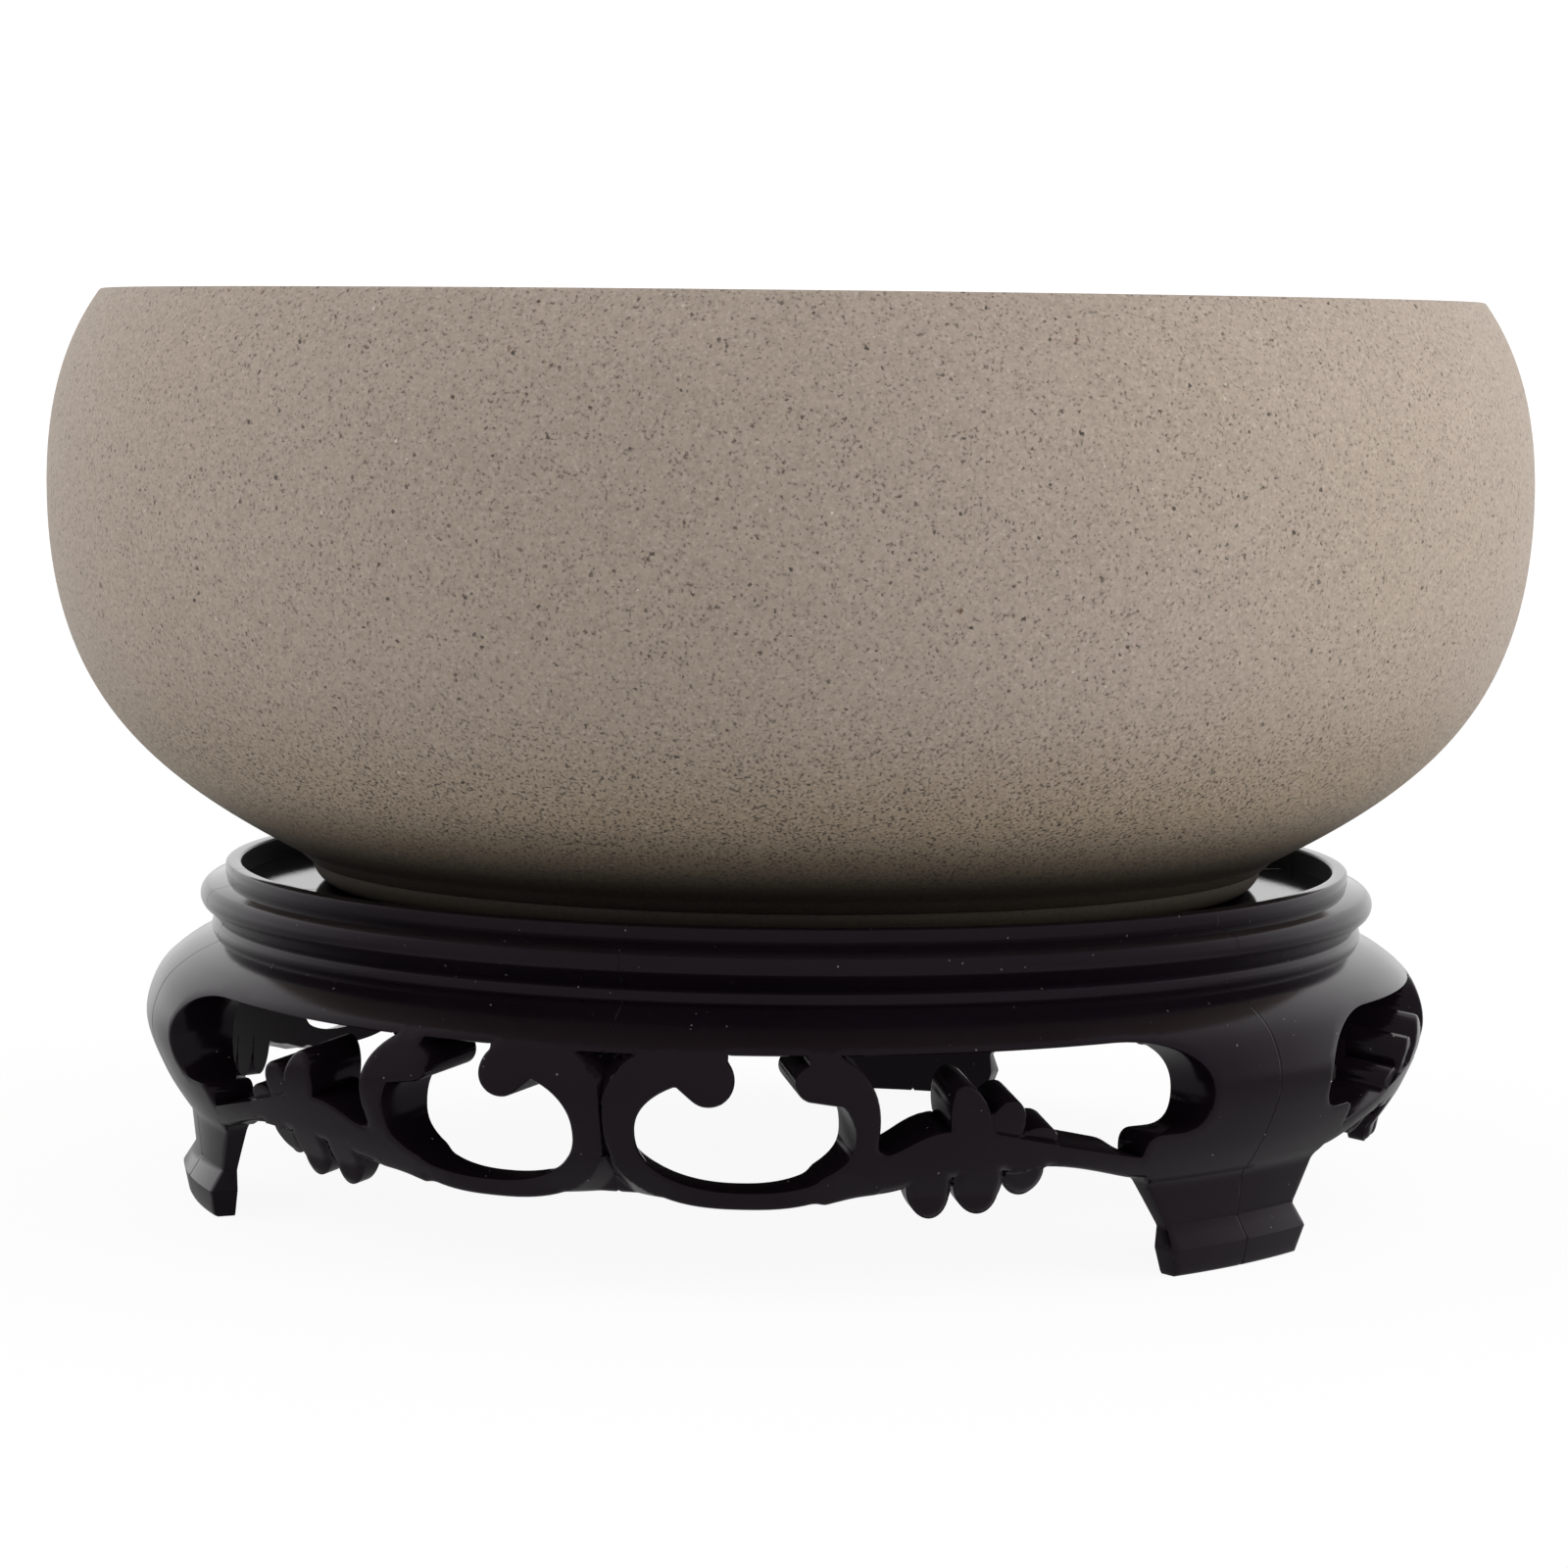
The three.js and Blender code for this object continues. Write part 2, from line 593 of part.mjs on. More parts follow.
export default planter;
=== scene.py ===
# Looks of a round stoneware planter bowl on a low moulded openwork stand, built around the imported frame.
# Outlines are in millimetres on the stand's drum: "along" runs round it from the middle of an apron to the
# middle of a leg, "height" is above the floor. Meshes are in metres, in the frame's own axes.

import math

import bpy
import numpy as np
from mathutils import Matrix, Vector
from mathutils.geometry import delaunay_2d_cdt


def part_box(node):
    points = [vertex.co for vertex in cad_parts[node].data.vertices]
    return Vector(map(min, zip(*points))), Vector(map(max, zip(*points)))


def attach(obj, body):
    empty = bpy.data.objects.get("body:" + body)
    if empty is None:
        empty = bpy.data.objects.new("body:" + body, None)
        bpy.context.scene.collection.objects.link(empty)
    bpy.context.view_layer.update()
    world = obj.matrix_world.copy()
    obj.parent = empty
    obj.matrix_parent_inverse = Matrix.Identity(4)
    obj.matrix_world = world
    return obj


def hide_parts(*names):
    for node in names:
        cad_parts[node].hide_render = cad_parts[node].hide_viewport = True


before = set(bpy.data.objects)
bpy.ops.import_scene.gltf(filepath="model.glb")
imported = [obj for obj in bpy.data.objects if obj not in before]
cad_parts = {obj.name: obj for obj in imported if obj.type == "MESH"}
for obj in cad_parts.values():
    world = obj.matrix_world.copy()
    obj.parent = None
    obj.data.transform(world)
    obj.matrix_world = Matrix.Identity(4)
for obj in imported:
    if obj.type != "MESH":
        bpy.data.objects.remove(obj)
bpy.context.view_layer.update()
MM = 0.001

# Sizes read from the frame
STAND_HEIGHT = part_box("stand_left_2")[1].z / MM
BULGE_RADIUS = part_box("stand_left_2")[1].x / MM
BELLY_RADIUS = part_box("bowl")[1].x / MM
BOWL_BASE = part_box("bowl")[0].z / MM
BOWL_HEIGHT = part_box("bowl")[1].z / MM - BOWL_BASE

# Camera, fitted to the photograph
CAMERA_AZIMUTH = math.radians(14.7)
CAMERA_DISTANCE = 0.8192
CAMERA_HEIGHT = 0.1506
CAMERA_PITCH = 0.0968
CAMERA_ROLL = 0.0109
CAMERA_SIDE = -0.0006
LENS = 106.16
SENSOR = 36
CLIP_START = 0.01

# Bowl, heights above its own foot
BELLY_HEIGHT = 69.7
BELLY_UNDER = 36
BELLY_OVER = 15
RIM_RADIUS = 120.7
RIM_LEAN = 5.8
RIM_DROP = 8
RIM_BREADTH = 5
RIM_ROUND = 0.9
RIM_TURN = 0.2 * math.pi  # angle at which the rim's round leaves the outside
FOOT_RADIUS = 84
FOOT_HEIGHT = 4.2
FOOT_BEVEL = 3.9
FOOT_RING = 12
FOOT_RECESS = 3
FOOT_CHAMFER = 1  # between the foot ring and the recess inside it
FOOT_ROUND = 0.8
COVE_REACH = 3
COVE_RISE = 2
FLARE_REACH = 26
FLARE_RISE = 13.6
BOWL_WALL = 6
FLOOR_THICKNESS = 8
FLOOR_TURN = 12  # breadth over which the wall turns into the floor
DRAIN_RADIUS = 7
DRAIN_ROUND = 1.2

# Ring of the stand
LIP_INNER = 96.5
LIP_RADIUS = 99.25
LIP_HEIGHT = 1.9
LIP_ROUND = 0.6
LEDGE_DROP = 3.85
LEDGE_WIDTH = 26
LEDGE_THICKNESS = 3
RING_BORE = 92.75
GROOVE_DEPTH = 0.9
GROOVE_CUT = 0.2  # how far the groove under the lip stands back
BEAD_RADIUS = 2.55
BEAD_REACH = 4.4
SMALL_BEAD_RADIUS = 1.9
SMALL_BEAD_REACH = 2.4
BEAD_DROP = 0.4  # how far the bead lies below the groove
SMALL_BEAD_DROP = 1  # width of the hollow between the two beads
BEAD_TURN = 1.05

# Drum: reach outside the lip and height above the floor
SHOULDER_REACH, SHOULDER_HEIGHT = 1.4, 45.8
EAVE_REACH, EAVE_HEIGHT = 7.3, 42.8
BROW_REACH, BROW_HEIGHT = 12, 38.2
BULGE_HEIGHT = 31
HAUNCH_REACH, HAUNCH_HEIGHT = 10.7, 22.4
KNEE_REACH, KNEE_HEIGHT = 6.7, 16
KNEE_STEP = 0.6  # how far the foot stands back under the knee
KNEE_ROUND = 1.2  # height over which it does
ANKLE_REACH, ANKLE_HEIGHT = 5.2, 8.1
TOE_REACH, TOE_HEIGHT = 7.4, 4.6
SOLE_REACH = 6.4
BORE_REACH = 2.8
DRUM_BORE = LIP_RADIUS + BORE_REACH
SHOULDER_LAP = 1
SKIRT_EDGE = 39.2
SKIRT_RISE = 1.3

# Openwork outlines, along the drum and above the floor
SEGMENT_ANGLE = math.pi / 3
SEGMENT_ARC = BULGE_RADIUS * SEGMENT_ANGLE
SEAM_GAP = 0.02
SCROLL_WIDTH = 44.2
SCROLL_DROP = 25.1
SCROLL_TUCK = 3
SCROLL_INNER_BAND = 5.2
SCROLL_OUTER_BAND = 4
SCROLL_LOW_BAND = 3
SCROLL_TOP_BAND = 3.2
SCROLL_SQUARENESS = 2.6
HOLE_SQUARENESS = 2.3
HOOK_PLACE = 20
HOOK_GAP = 12.8
BULB_RADIUS = 4.1
BULB_SWELL = 1.2
BULB_DROP = 3.7
NECK_REACH = 6.2
NECK_RISE = 5
BUD_RADIUS = 2.9
BUD_SWELL = 2.1
BUD_DROP = 3.9
BUD_REACH = 4.9
BUD_DIP = 0.7
WEB_REACH = 6.4
WEB_DROP = 8
WEB_RECESS = 3.2
WEB_SLOPE = 2.4  # breadth of the slope from a scroll back to the web
WEB_SKIRT_SLOPE = 1.2  # and from the skirt
WEB_FOOT_REACH = 10.5
WEB_FOOT_LIFT = 1.6  # how far the web between the scrolls' feet ends above their lowest point
WEB_FOOT_RISE = 8.9
VINE_ROOT = 17.5
VINE_RISE = 6
VINE_ROOT_HALF = 3.5
VINE_LEAF_HALF = 4.2
VINE_TIP_HALF = 1.9
VINE_LEVEL = 14.2
VINE_DIP = 5.6
LEAF_PLACE = 15.8
LEAF_ALONG = SCROLL_WIDTH + LEAF_PLACE
LEAF_HEIGHT = VINE_ROOT + VINE_RISE
# Lobes from front to back: foot, tip, breadth, and how far the lobe lies behind those before it
LEAF_LOBES = [
    ((0.4, -2), (-2.7, 11.4), 7, 0),
    ((-8, -0.5), (-5.3, -10.9), 7.6, 0),
    ((-0.2, 0.5), (3.6, -10.3), 8.4, 0),
    ((2.6, -1.5), (6.3, 8.6), 6.8, 0.6),
    ((5, -2.2), (14.3, 2.6), 7, 1),
    ((7.6, -0.5), (12.6, -7.4), 7.2, 1.5),
]
LEG_HALF = 15.1
LEG_WAIST_HEIGHT = 30.4
ARCH_REACH = 18
ARCH_FOLLOW = 10
WAIST_OVER = 6
WAIST_UNDER = 4
NOTCH_FLOOR = 24.8
NOTCH_CORNER = 6
BRACKET_HALF = 27.2
BRACKET_CORNER = 2.6
KNEE_HALF = 23.6
ANKLE_HALF = 17.8
TOE_HALF = 18.2
SOLE_HALF = 16.6
FOOT_CREASES = [TOE_HEIGHT, ANKLE_HEIGHT] + [KNEE_HEIGHT + KNEE_ROUND * part for part in (-1, -0.5, 0, 0.5)]

# Finish of the moulded edges
EDGE_ROUND = 0.6
LOBE_ROUND = 1.5
SEAM_BEVEL = 0.1  # bevel along a seam
STEP_WIDTH = 0.3  # slope between overlapping lobes
VINE_BLEND = 3  # how softly the vine grows out of the scroll
LEAN_START = 84  # the walls of the openwork are straight up to here
LEAN_END = 93  # and point to the axis from here on
PULL_RISE = 0.17  # how steeply those straight walls rise inwards

# Clay colours
CLAY_DEEP = (0.359, 0.289, 0.235, 1)
CLAY_PALE = (0.408, 0.331, 0.271, 1)
CLAY_TAN = (0.38, 0.305, 0.235, 1)
CLAY_BROWN = (0.27, 0.22, 0.175, 1)
# Browner clay towards the foot, partly painted shade of the bowl's underside
FOOT_TAN_AND_SHADE = (0.32, 0.24, 0.13, 1)
# Near black at the bowl's foot: painted shade
FOOT_PAINTED_SHADE = (0.03, 0.024, 0.017, 1)
GRIT_DARK = (0.1, 0.08, 0.062, 1)
GRIT_PALE = (0.52, 0.45, 0.38, 1)
SAND_DARK = (0.06, 0.048, 0.036, 1)
FINE_DARK = (0.075, 0.058, 0.045, 1)
BROAD_DARK = (0.05, 0.04, 0.032, 1)
SPECK_BROWN = (0.13, 0.07, 0.035, 1)
# Pale specks that stand for tiny glints in the clay: painted highlights
PAINTED_GLINT = (0.62, 0.57, 0.5, 1)

# Clay noise: waves per metre and detail
CLOUD_NOISE = (55, 4)
STAIN_NOISE = (16, 2)
GRAIN_NOISE = (900, 3)
GRIT_NOISE = (1900, 2)

# Shares of a tint: values of the noise between which the share changes, and the share at each
STAIN_SHARE = (0.45, 0.7, 0, 0.5)
GRAIN_SHARE = (0.42, 0.72, 0, 0.6)
GRIT_SHARE = (0.59, 0.7, 0, 0.85)
PALE_SHARE = (0.43, 0.3, 0, 0.5)
SAND_SHARE = (0.545, 0.625, 0, 1)

# Tints towards the foot, the brown one partly and the dark one wholly painted shade: heights above it
# between which the share grows, and the share at the end
TAN_AND_SHADE_BAND = (45.7, 7.7, 0.6)
SAND_BAND = (45.7, 20.7, 0.78)
# The dark band is painted shade at the foot
PAINTED_SHADE_BAND = (23.2, 6.7, 0.95)
OUTSIDE_TILT = (0.5, 0.2)  # upward part of the normal on the bowl's inside floor and on its outside

# Specks: spacing in millimetres, share of the cells taken, and largest radius in millimetres
FINE_SPECKS = (1.2, 0.7, 0.43)
BROAD_SPECKS = (3.2, 0.4, 0.6)
BROWN_SPECKS = (3.6, 0.4, 0.5)
# Painted glints, as pale specks
PAINTED_GLINT_SPECKS = (2.2, 0.45, 0.3)
DUST_SPECKS = (1.8, 0.4, 0.25)
SPECK_EDGE = 0.4  # softness of a speck's edge, as a share of the largest radius
SPECK_FAINTEST = 0.45
SPECK_RAG = 1.1  # how far grit moves the edge of a speck, in millimetres

# Clay finish
CLAY_ROUGHNESS = (0.55, 0.7)
CLAY_SPECULAR = 0.65
CLAY_RELIEF = (0.4, 0.2)  # strength, and depth in millimetres

# Plastic colours and finish, given as for the clay
BLACK_DEEP = (0.005, 0.0031, 0.0048, 1)
BLACK_PALE = (0.0075, 0.0049, 0.0072, 1)
DUST = (0.2, 0.19, 0.18, 1)
# Pale broken line along the seams: a painted highlight of their edges
SEAM_HIGHLIGHT_PAINT = (0.05, 0.047, 0.047, 1)
SEAM_HIGHLIGHT_REACH = 1.5 * SEAM_BEVEL
SEAM_HIGHLIGHT_NOISE = (260, 2)
SEAM_HIGHLIGHT_SHARE = (0.5, 0.75)
HAZE_NOISE = (70, 4)
SKIN_NOISE = (1600, 2)
PLASTIC_ROUGHNESS = (0.13, 0.21)
LEVEL_ROUGHNESS = 0.06
LEVEL_TILT = (0.9, 0.98)  # upward part of the normal on sloping and on level faces
INNER_ROUGHNESS = 0.65
INNER_FACING = (-0.04, -0.08)  # normal times place in metres, where faces begin to look inwards and fully do
PLASTIC_SPECULAR = 0.25
PLASTIC_SHINE = (1, 0.88, 1, 1)
PLASTIC_RELIEF = (0.08, 0.1)

# Surround: its brightness behind the object, towards the camera, and the fill added there for matte surfaces
SURROUND_BACK = 1.1
SURROUND_FRONT = 0.38
SURROUND_FILL = 0.28
SURROUND_TURN = (-0.8, 0.1)  # frontness at which the back ends and the front begins

# Ground, in metres
WHITE = (1, 1, 1, 1)
GROUND_HALF = 12
GROUND_COLOUR = (0.9, 0.9, 0.9, 1)
GROUND_BOUNCE = (0.64, 0.64, 0.64, 1)  # colour for the light that it throws back
GROUND_ROUGHNESS = 0.9
GROUND_GLOW = 0.93  # share of white glow under the object
GROUND_FADE = (0.12, 0.3)  # distances from the axis between which that share grows to 1
# The glow dims close beside the object: a painted shadow, seen in reflections
GROUND_SHADOW_LEVEL = 0.5  # level of the glow close beside and behind the object
GROUND_TURN = (0.2, 0.8)  # frontness at which that level ends and the full one begins
GROUND_SHADOW_REACH = 0.18  # distance from the axis up to which that level holds

# Lamps: azimuth to the right of the camera and elevation in degrees, distance and size in metres, power
LAMP_AIM = 0.09
LAMPS = {
    "key_right": (75, 18, 1.6, 1.1, 17),
    "fill_left": (-80, 20, 1.7, 1.1, 9),
    "top": (0, 82, 1.8, 1.4, 1.5),
}

# Mesh steps and tolerances
RASTER = 0.5
PLAIN_STEP = 1.3
FINE_STEP = 0.45
CREASE_STEP = 0.8
PROFILE_STEPS = 14
OUTSIDE_STEPS = 40
INSIDE_STEPS = 30
HOLLOW_STEPS = 6
VINE_STEPS = 8
ROUND_STEPS = 8
FOOT_STEPS = 4
RIM_STEPS = 5
LIP_STEPS = 6
BEAD_STEPS = 16
SMALL_BEAD_STEPS = 12
ARC_STEPS = 48
BOWL_SIDES = 288
LOOP_STEPS = 96
CREASE_ANGLE = math.radians(42)
MERGE_REACH = 1e-4
TINY = 1e-9


def spline(points, steps):
    """Points of the smooth curve through points."""
    p = np.array(points, float)
    last = len(p) - 1
    found = []
    for i in range(last):
        a, b, c, d = p[max(i - 1, 0)], p[i], p[i + 1], p[min(i + 2, last)]
        for t in np.arange(steps) / steps:
            start, end = (c - a) / 2, (d - b) / 2
            found.append(
                (2 * b - 2 * c + start + end) * t**3
                + (3 * c - 3 * b - 2 * start - end) * t**2
                + start * t
                + b
            )
    return np.array(found + [p[last]])


def bezier(a, b, c, d, steps=PROFILE_STEPS):
    """Points of a cubic curve with handles b and c."""
    t = np.linspace(0, 1, steps + 1)[:, None]
    a, b, c, d = (np.array(x, float) for x in (a, b, c, d))
    return (1 - t) ** 3 * a + 3 * t * (1 - t) ** 2 * b + 3 * t**2 * (1 - t) * c + t**3 * d


def arc(middle, radius, start, end, steps=ROUND_STEPS):
    """Points of a circle between two angles in radians."""
    turn = np.linspace(start, end, steps + 1)
    return np.stack([middle[0] + radius * np.cos(turn), middle[1] + radius * np.sin(turn)], 1)


def ease(low, high, value):
    """0 below low, 1 above high, smooth between."""
    t = np.clip((value - low) / (high - low), 0, 1)
    return t * t * (3 - 2 * t)


def turned(points, angle):
    """Points turned round the vertical axis."""
    c, s = math.cos(angle), math.sin(angle)
    x, y = points[:, 0] * c - points[:, 1] * s, points[:, 0] * s + points[:, 1] * c
    return np.stack([x, y, points[:, 2]], 1)


def mesh_object(name, points, faces, material):
    """New object from points in millimetres, shaded smooth up to a crease."""
    mesh = bpy.data.meshes.new(name)
    mesh.from_pydata((np.asarray(points) * MM).tolist(), [], faces)
    mesh.validate()
    mesh.update()
    for polygon in mesh.polygons:
        polygon.use_smooth = True
    mesh.set_sharp_from_angle(angle=CREASE_ANGLE)
    mesh.materials.append(material)
    piece = bpy.data.objects.new(name, mesh)
    bpy.context.scene.collection.objects.link(piece)
    return piece


# Outlines of the openwork


def round_loop(left, right, low, high, squareness):
    """Oval in a box, rounder or squarer."""
    turn = np.linspace(0, 2 * math.pi, LOOP_STEPS, endpoint=False)
    x = np.sign(np.cos(turn)) * np.abs(np.cos(turn)) ** (2 / squareness)
    y = np.sign(np.sin(turn)) * np.abs(np.sin(turn)) ** (2 / squareness)
    across, up = (left + right + x * (right - left)) / 2, (low + high + y * (high - low)) / 2
    return np.stack([across, up], 1)


def lobe_loop(foot, tip, breadth):
    """Oval lobe of the leaf from its foot to its tip."""
    (fx, fy), (tx, ty) = foot, tip
    half, tilt = math.hypot(tx - fx, ty - fy) / 2, math.atan2(ty - fy, tx - fx)
    turn = np.linspace(0, 2 * math.pi, LOOP_STEPS // 2, endpoint=False)
    x, y = half * np.cos(turn), breadth / 2 * np.sin(turn)
    along = LEAF_ALONG + (fx + tx) / 2 + x * math.cos(tilt) - y * math.sin(tilt)
    height = LEAF_HEIGHT + (fy + ty) / 2 + x * math.sin(tilt) + y * math.cos(tilt)
    return np.stack([along, height], 1)


def vine_loop():
    """Vine from the scroll through the leaf to the leg, from points with half its breadth at each."""
    points = [
        (SCROLL_WIDTH - 2 * SCROLL_OUTER_BAND, VINE_ROOT, VINE_ROOT_HALF / 2),
        (SCROLL_WIDTH + SCROLL_OUTER_BAND / 2, VINE_ROOT + VINE_RISE / 2, VINE_ROOT_HALF),
        (LEAF_ALONG - LEAF_PLACE / 4, LEAF_HEIGHT, VINE_LEAF_HALF),
        (LEAF_ALONG + VINE_LEVEL, LEAF_HEIGHT - VINE_TIP_HALF / 2, VINE_TIP_HALF),
        (SEGMENT_ARC - BRACKET_HALF, NOTCH_FLOOR - VINE_DIP, VINE_TIP_HALF),
        (SEGMENT_ARC - KNEE_HALF, NOTCH_FLOOR - VINE_DIP, VINE_TIP_HALF),
    ]
    low = spline([(x, y - half) for x, y, half in points], VINE_STEPS)
    high = spline([(x, y + half) for x, y, half in points], VINE_STEPS)
    return np.concatenate([low, high[::-1]])


def skirt_edge(along):
    """Height of the apron's lower edge."""
    return SKIRT_EDGE + SKIRT_RISE * (along / SEGMENT_ARC) ** 2


def leg_loop():
    """Half a leg with the arch over its notch, past the seam and the floor, which cut it later."""
    arch_end = LEG_HALF + ARCH_REACH
    arch_top = skirt_edge(SEGMENT_ARC - arch_end)
    sides = np.concatenate(
        [
            bezier(
                (arch_end, arch_top),
                (arch_end - ARCH_FOLLOW, arch_top),
                (LEG_HALF, LEG_WAIST_HEIGHT + WAIST_OVER),
                (LEG_HALF, LEG_WAIST_HEIGHT),
            ),
            bezier(
                (LEG_HALF, LEG_WAIST_HEIGHT),
                (LEG_HALF, LEG_WAIST_HEIGHT - WAIST_UNDER),
                (LEG_HALF + NOTCH_CORNER / 3, NOTCH_FLOOR),
                (LEG_HALF + NOTCH_CORNER, NOTCH_FLOOR),
            )[1:],
            arc(
                (BRACKET_HALF - BRACKET_CORNER, NOTCH_FLOOR - BRACKET_CORNER),
                BRACKET_CORNER,
                math.pi / 2,
                0,
            ),
            [
                (BRACKET_HALF, NOTCH_FLOOR - VINE_DIP),
                (KNEE_HALF, KNEE_HEIGHT),
                (ANKLE_HALF, ANKLE_HEIGHT),
                (TOE_HALF, TOE_HEIGHT),
                (SOLE_HALF, 0),
                (SOLE_HALF, -STEP_WIDTH),
                (-LOBE_ROUND, -STEP_WIDTH),
                (-LOBE_ROUND, STAND_HEIGHT),
                (arch_end, STAND_HEIGHT),
            ],
        ]
    )
    sides[:, 0] = SEGMENT_ARC - sides[:, 0]
    return sides


def inside_distance(loop, x, y):
    """Distance of points from a closed outline, positive inside."""
    nearest = np.full(x.shape, np.inf)
    inside = np.zeros(x.shape, bool)
    for (ax, ay), (bx, by) in zip(loop, np.roll(loop, -1, 0)):
        ex, ey = bx - ax, by - ay
        length = ex * ex + ey * ey
        if length < TINY:
            continue
        t = np.clip(((x - ax) * ex + (y - ay) * ey) / length, 0, 1)
        nearest = np.minimum(nearest, np.hypot(x - ax - t * ex, y - ay - t * ey))
        crosses = (ay > y) != (by > y)
        inside ^= crosses & (x < ax + (y - ay) * ex / (ey if ey else TINY))
    return np.where(inside, nearest, -nearest)


def capsule(x, y, start, run, radius):
    """Inside distance of a bar with round ends that starts at a point and has a run along and up."""
    (ax, ay), (ex, ey) = start, run
    t = np.clip(((x - ax) * ex + (y - ay) * ey) / (ex * ex + ey * ey), 0, 1)
    return radius - np.hypot(x - ax - t * ex, y - ay - t * ey)


def openwork(x, y):
    """Inside distance of the whole openwork, and its layers: each one's distance, that of what lies in front
    of it, and how far it lies behind that."""
    low = SKIRT_EDGE - SCROLL_DROP
    ring = round_loop(0, SCROLL_WIDTH, low, SKIRT_EDGE + SCROLL_TUCK, SCROLL_SQUARENESS)
    hole = round_loop(
        SCROLL_INNER_BAND,
        SCROLL_WIDTH - SCROLL_OUTER_BAND,
        low + SCROLL_LOW_BAND,
        SKIRT_EDGE - SCROLL_TOP_BAND,
        HOLE_SQUARENESS,
    )
    gap_end = HOOK_PLACE + HOOK_GAP
    gap = np.minimum.reduce([x - HOOK_PLACE, gap_end - x, y - (low + SKIRT_EDGE) / 2])
    scroll = np.minimum.reduce([inside_distance(ring, x, y), -inside_distance(hole, x, y), -gap])
    bulb_start = (HOOK_PLACE + BULB_SWELL - BULB_RADIUS, SKIRT_EDGE - BULB_DROP)
    bud_start = (gap_end - BUD_SWELL + BUD_RADIUS, SKIRT_EDGE - BUD_DROP)
    bulb = capsule(x, y, bulb_start, (-NECK_REACH, NECK_RISE), BULB_RADIUS)
    bud = capsule(x, y, bud_start, (BUD_REACH, -BUD_DIP), BUD_RADIUS)
    skirt = y - skirt_edge(x)
    vine = inside_distance(vine_loop(), x, y)
    web_foot = low + WEB_FOOT_LIFT
    corner = [(-WEB_FOOT_REACH, web_foot), (WEB_FOOT_REACH, web_foot), (0, low + WEB_FOOT_RISE)]
    web = np.minimum.reduce([WEB_REACH - x, y - SKIRT_EDGE + WEB_DROP, SHOULDER_HEIGHT - y])
    web = np.maximum(web, inside_distance(np.array(corner), x, y))
    blend = np.clip(1 - np.abs(scroll - vine) / VINE_BLEND, 0, 1) ** 2 * VINE_BLEND / 4
    branch = np.maximum(scroll, vine) + blend
    leg = inside_distance(leg_loop(), x, y)
    web_front = STEP_WIDTH * np.maximum(scroll / WEB_SLOPE, skirt / WEB_SKIRT_SLOPE)
    layers = [(web, web_front, WEB_RECESS)]
    leaf = vine
    for foot, tip, breadth, behind in LEAF_LOBES:
        lobe = inside_distance(lobe_loop(foot, tip, breadth), x, y)
        layers.append((lobe, leaf, behind))
        leaf = np.maximum(leaf, lobe)
    return np.maximum.reduce([skirt, branch, bulb, bud, web, leg, leaf]), layers


def seam_distance(x):
    """Distance from the nearer seam."""
    return np.minimum(x, SEGMENT_ARC - x) - SEAM_GAP / 2


def bounded(x, y, distance):
    """Inside distance cut off at the seams, the floor and the top, for the outline and for its rounding."""
    seam = seam_distance(x)
    outline = np.minimum.reduce([distance, seam, y, SHOULDER_HEIGHT - y])
    rounding = np.minimum.reduce([distance, seam * EDGE_ROUND / SEAM_BEVEL, y])
    return outline, rounding


def contour(values, level, xs, ys):
    """Points and edges of a level line on a raster."""
    places, points, edges = {}, [], []

    def crossing(i, j, k, m):
        key = (i, j, k, m)
        if key not in places:
            t = (level - values[i, j]) / (values[k, m] - values[i, j])
            places[key] = len(points)
            points.append((xs[i] + t * (xs[k] - xs[i]), ys[j] + t * (ys[m] - ys[j])))
        return places[key]

    above = values > level
    for i in range(len(xs) - 1):
        for j in range(len(ys) - 1):
            corners = [(i, j), (i + 1, j), (i + 1, j + 1), (i, j + 1)]
            if len({above[c] for c in corners}) == 1:
                continue
            found = []
            for n in range(4):
                a, b = sorted((corners[n], corners[(n + 1) % 4]))
                if above[a] != above[b]:
                    found.append(crossing(*a, *b))
            edges.extend(zip(found[0::2], found[1::2]))
    return points, edges


def drum_face():
    """Radius of the drum at closely spaced heights."""
    bulge = spline(
        [
            (KNEE_REACH, KNEE_HEIGHT),
            (HAUNCH_REACH, HAUNCH_HEIGHT),
            (BULGE_RADIUS - LIP_RADIUS, BULGE_HEIGHT),
            (BROW_REACH, BROW_HEIGHT),
            (EAVE_REACH, EAVE_HEIGHT),
            (SHOULDER_REACH, SHOULDER_HEIGHT),
        ],
        PROFILE_STEPS,
    )
    foot = [(SOLE_REACH, 0), (TOE_REACH, TOE_HEIGHT), (ANKLE_REACH, ANKLE_HEIGHT)]
    return np.concatenate([foot, bulge]) + [LIP_RADIUS, 0]


FACE = drum_face()


def drum_radius(height):
    """Radius of the drum's face."""
    return np.interp(height, FACE[:, 1], FACE[:, 0])


def drum_bore(height):
    """Radius of the drum's back."""
    return np.interp(height, [SKIRT_EDGE, SHOULDER_HEIGHT], [DRUM_BORE, RING_BORE + SHOULDER_LAP])


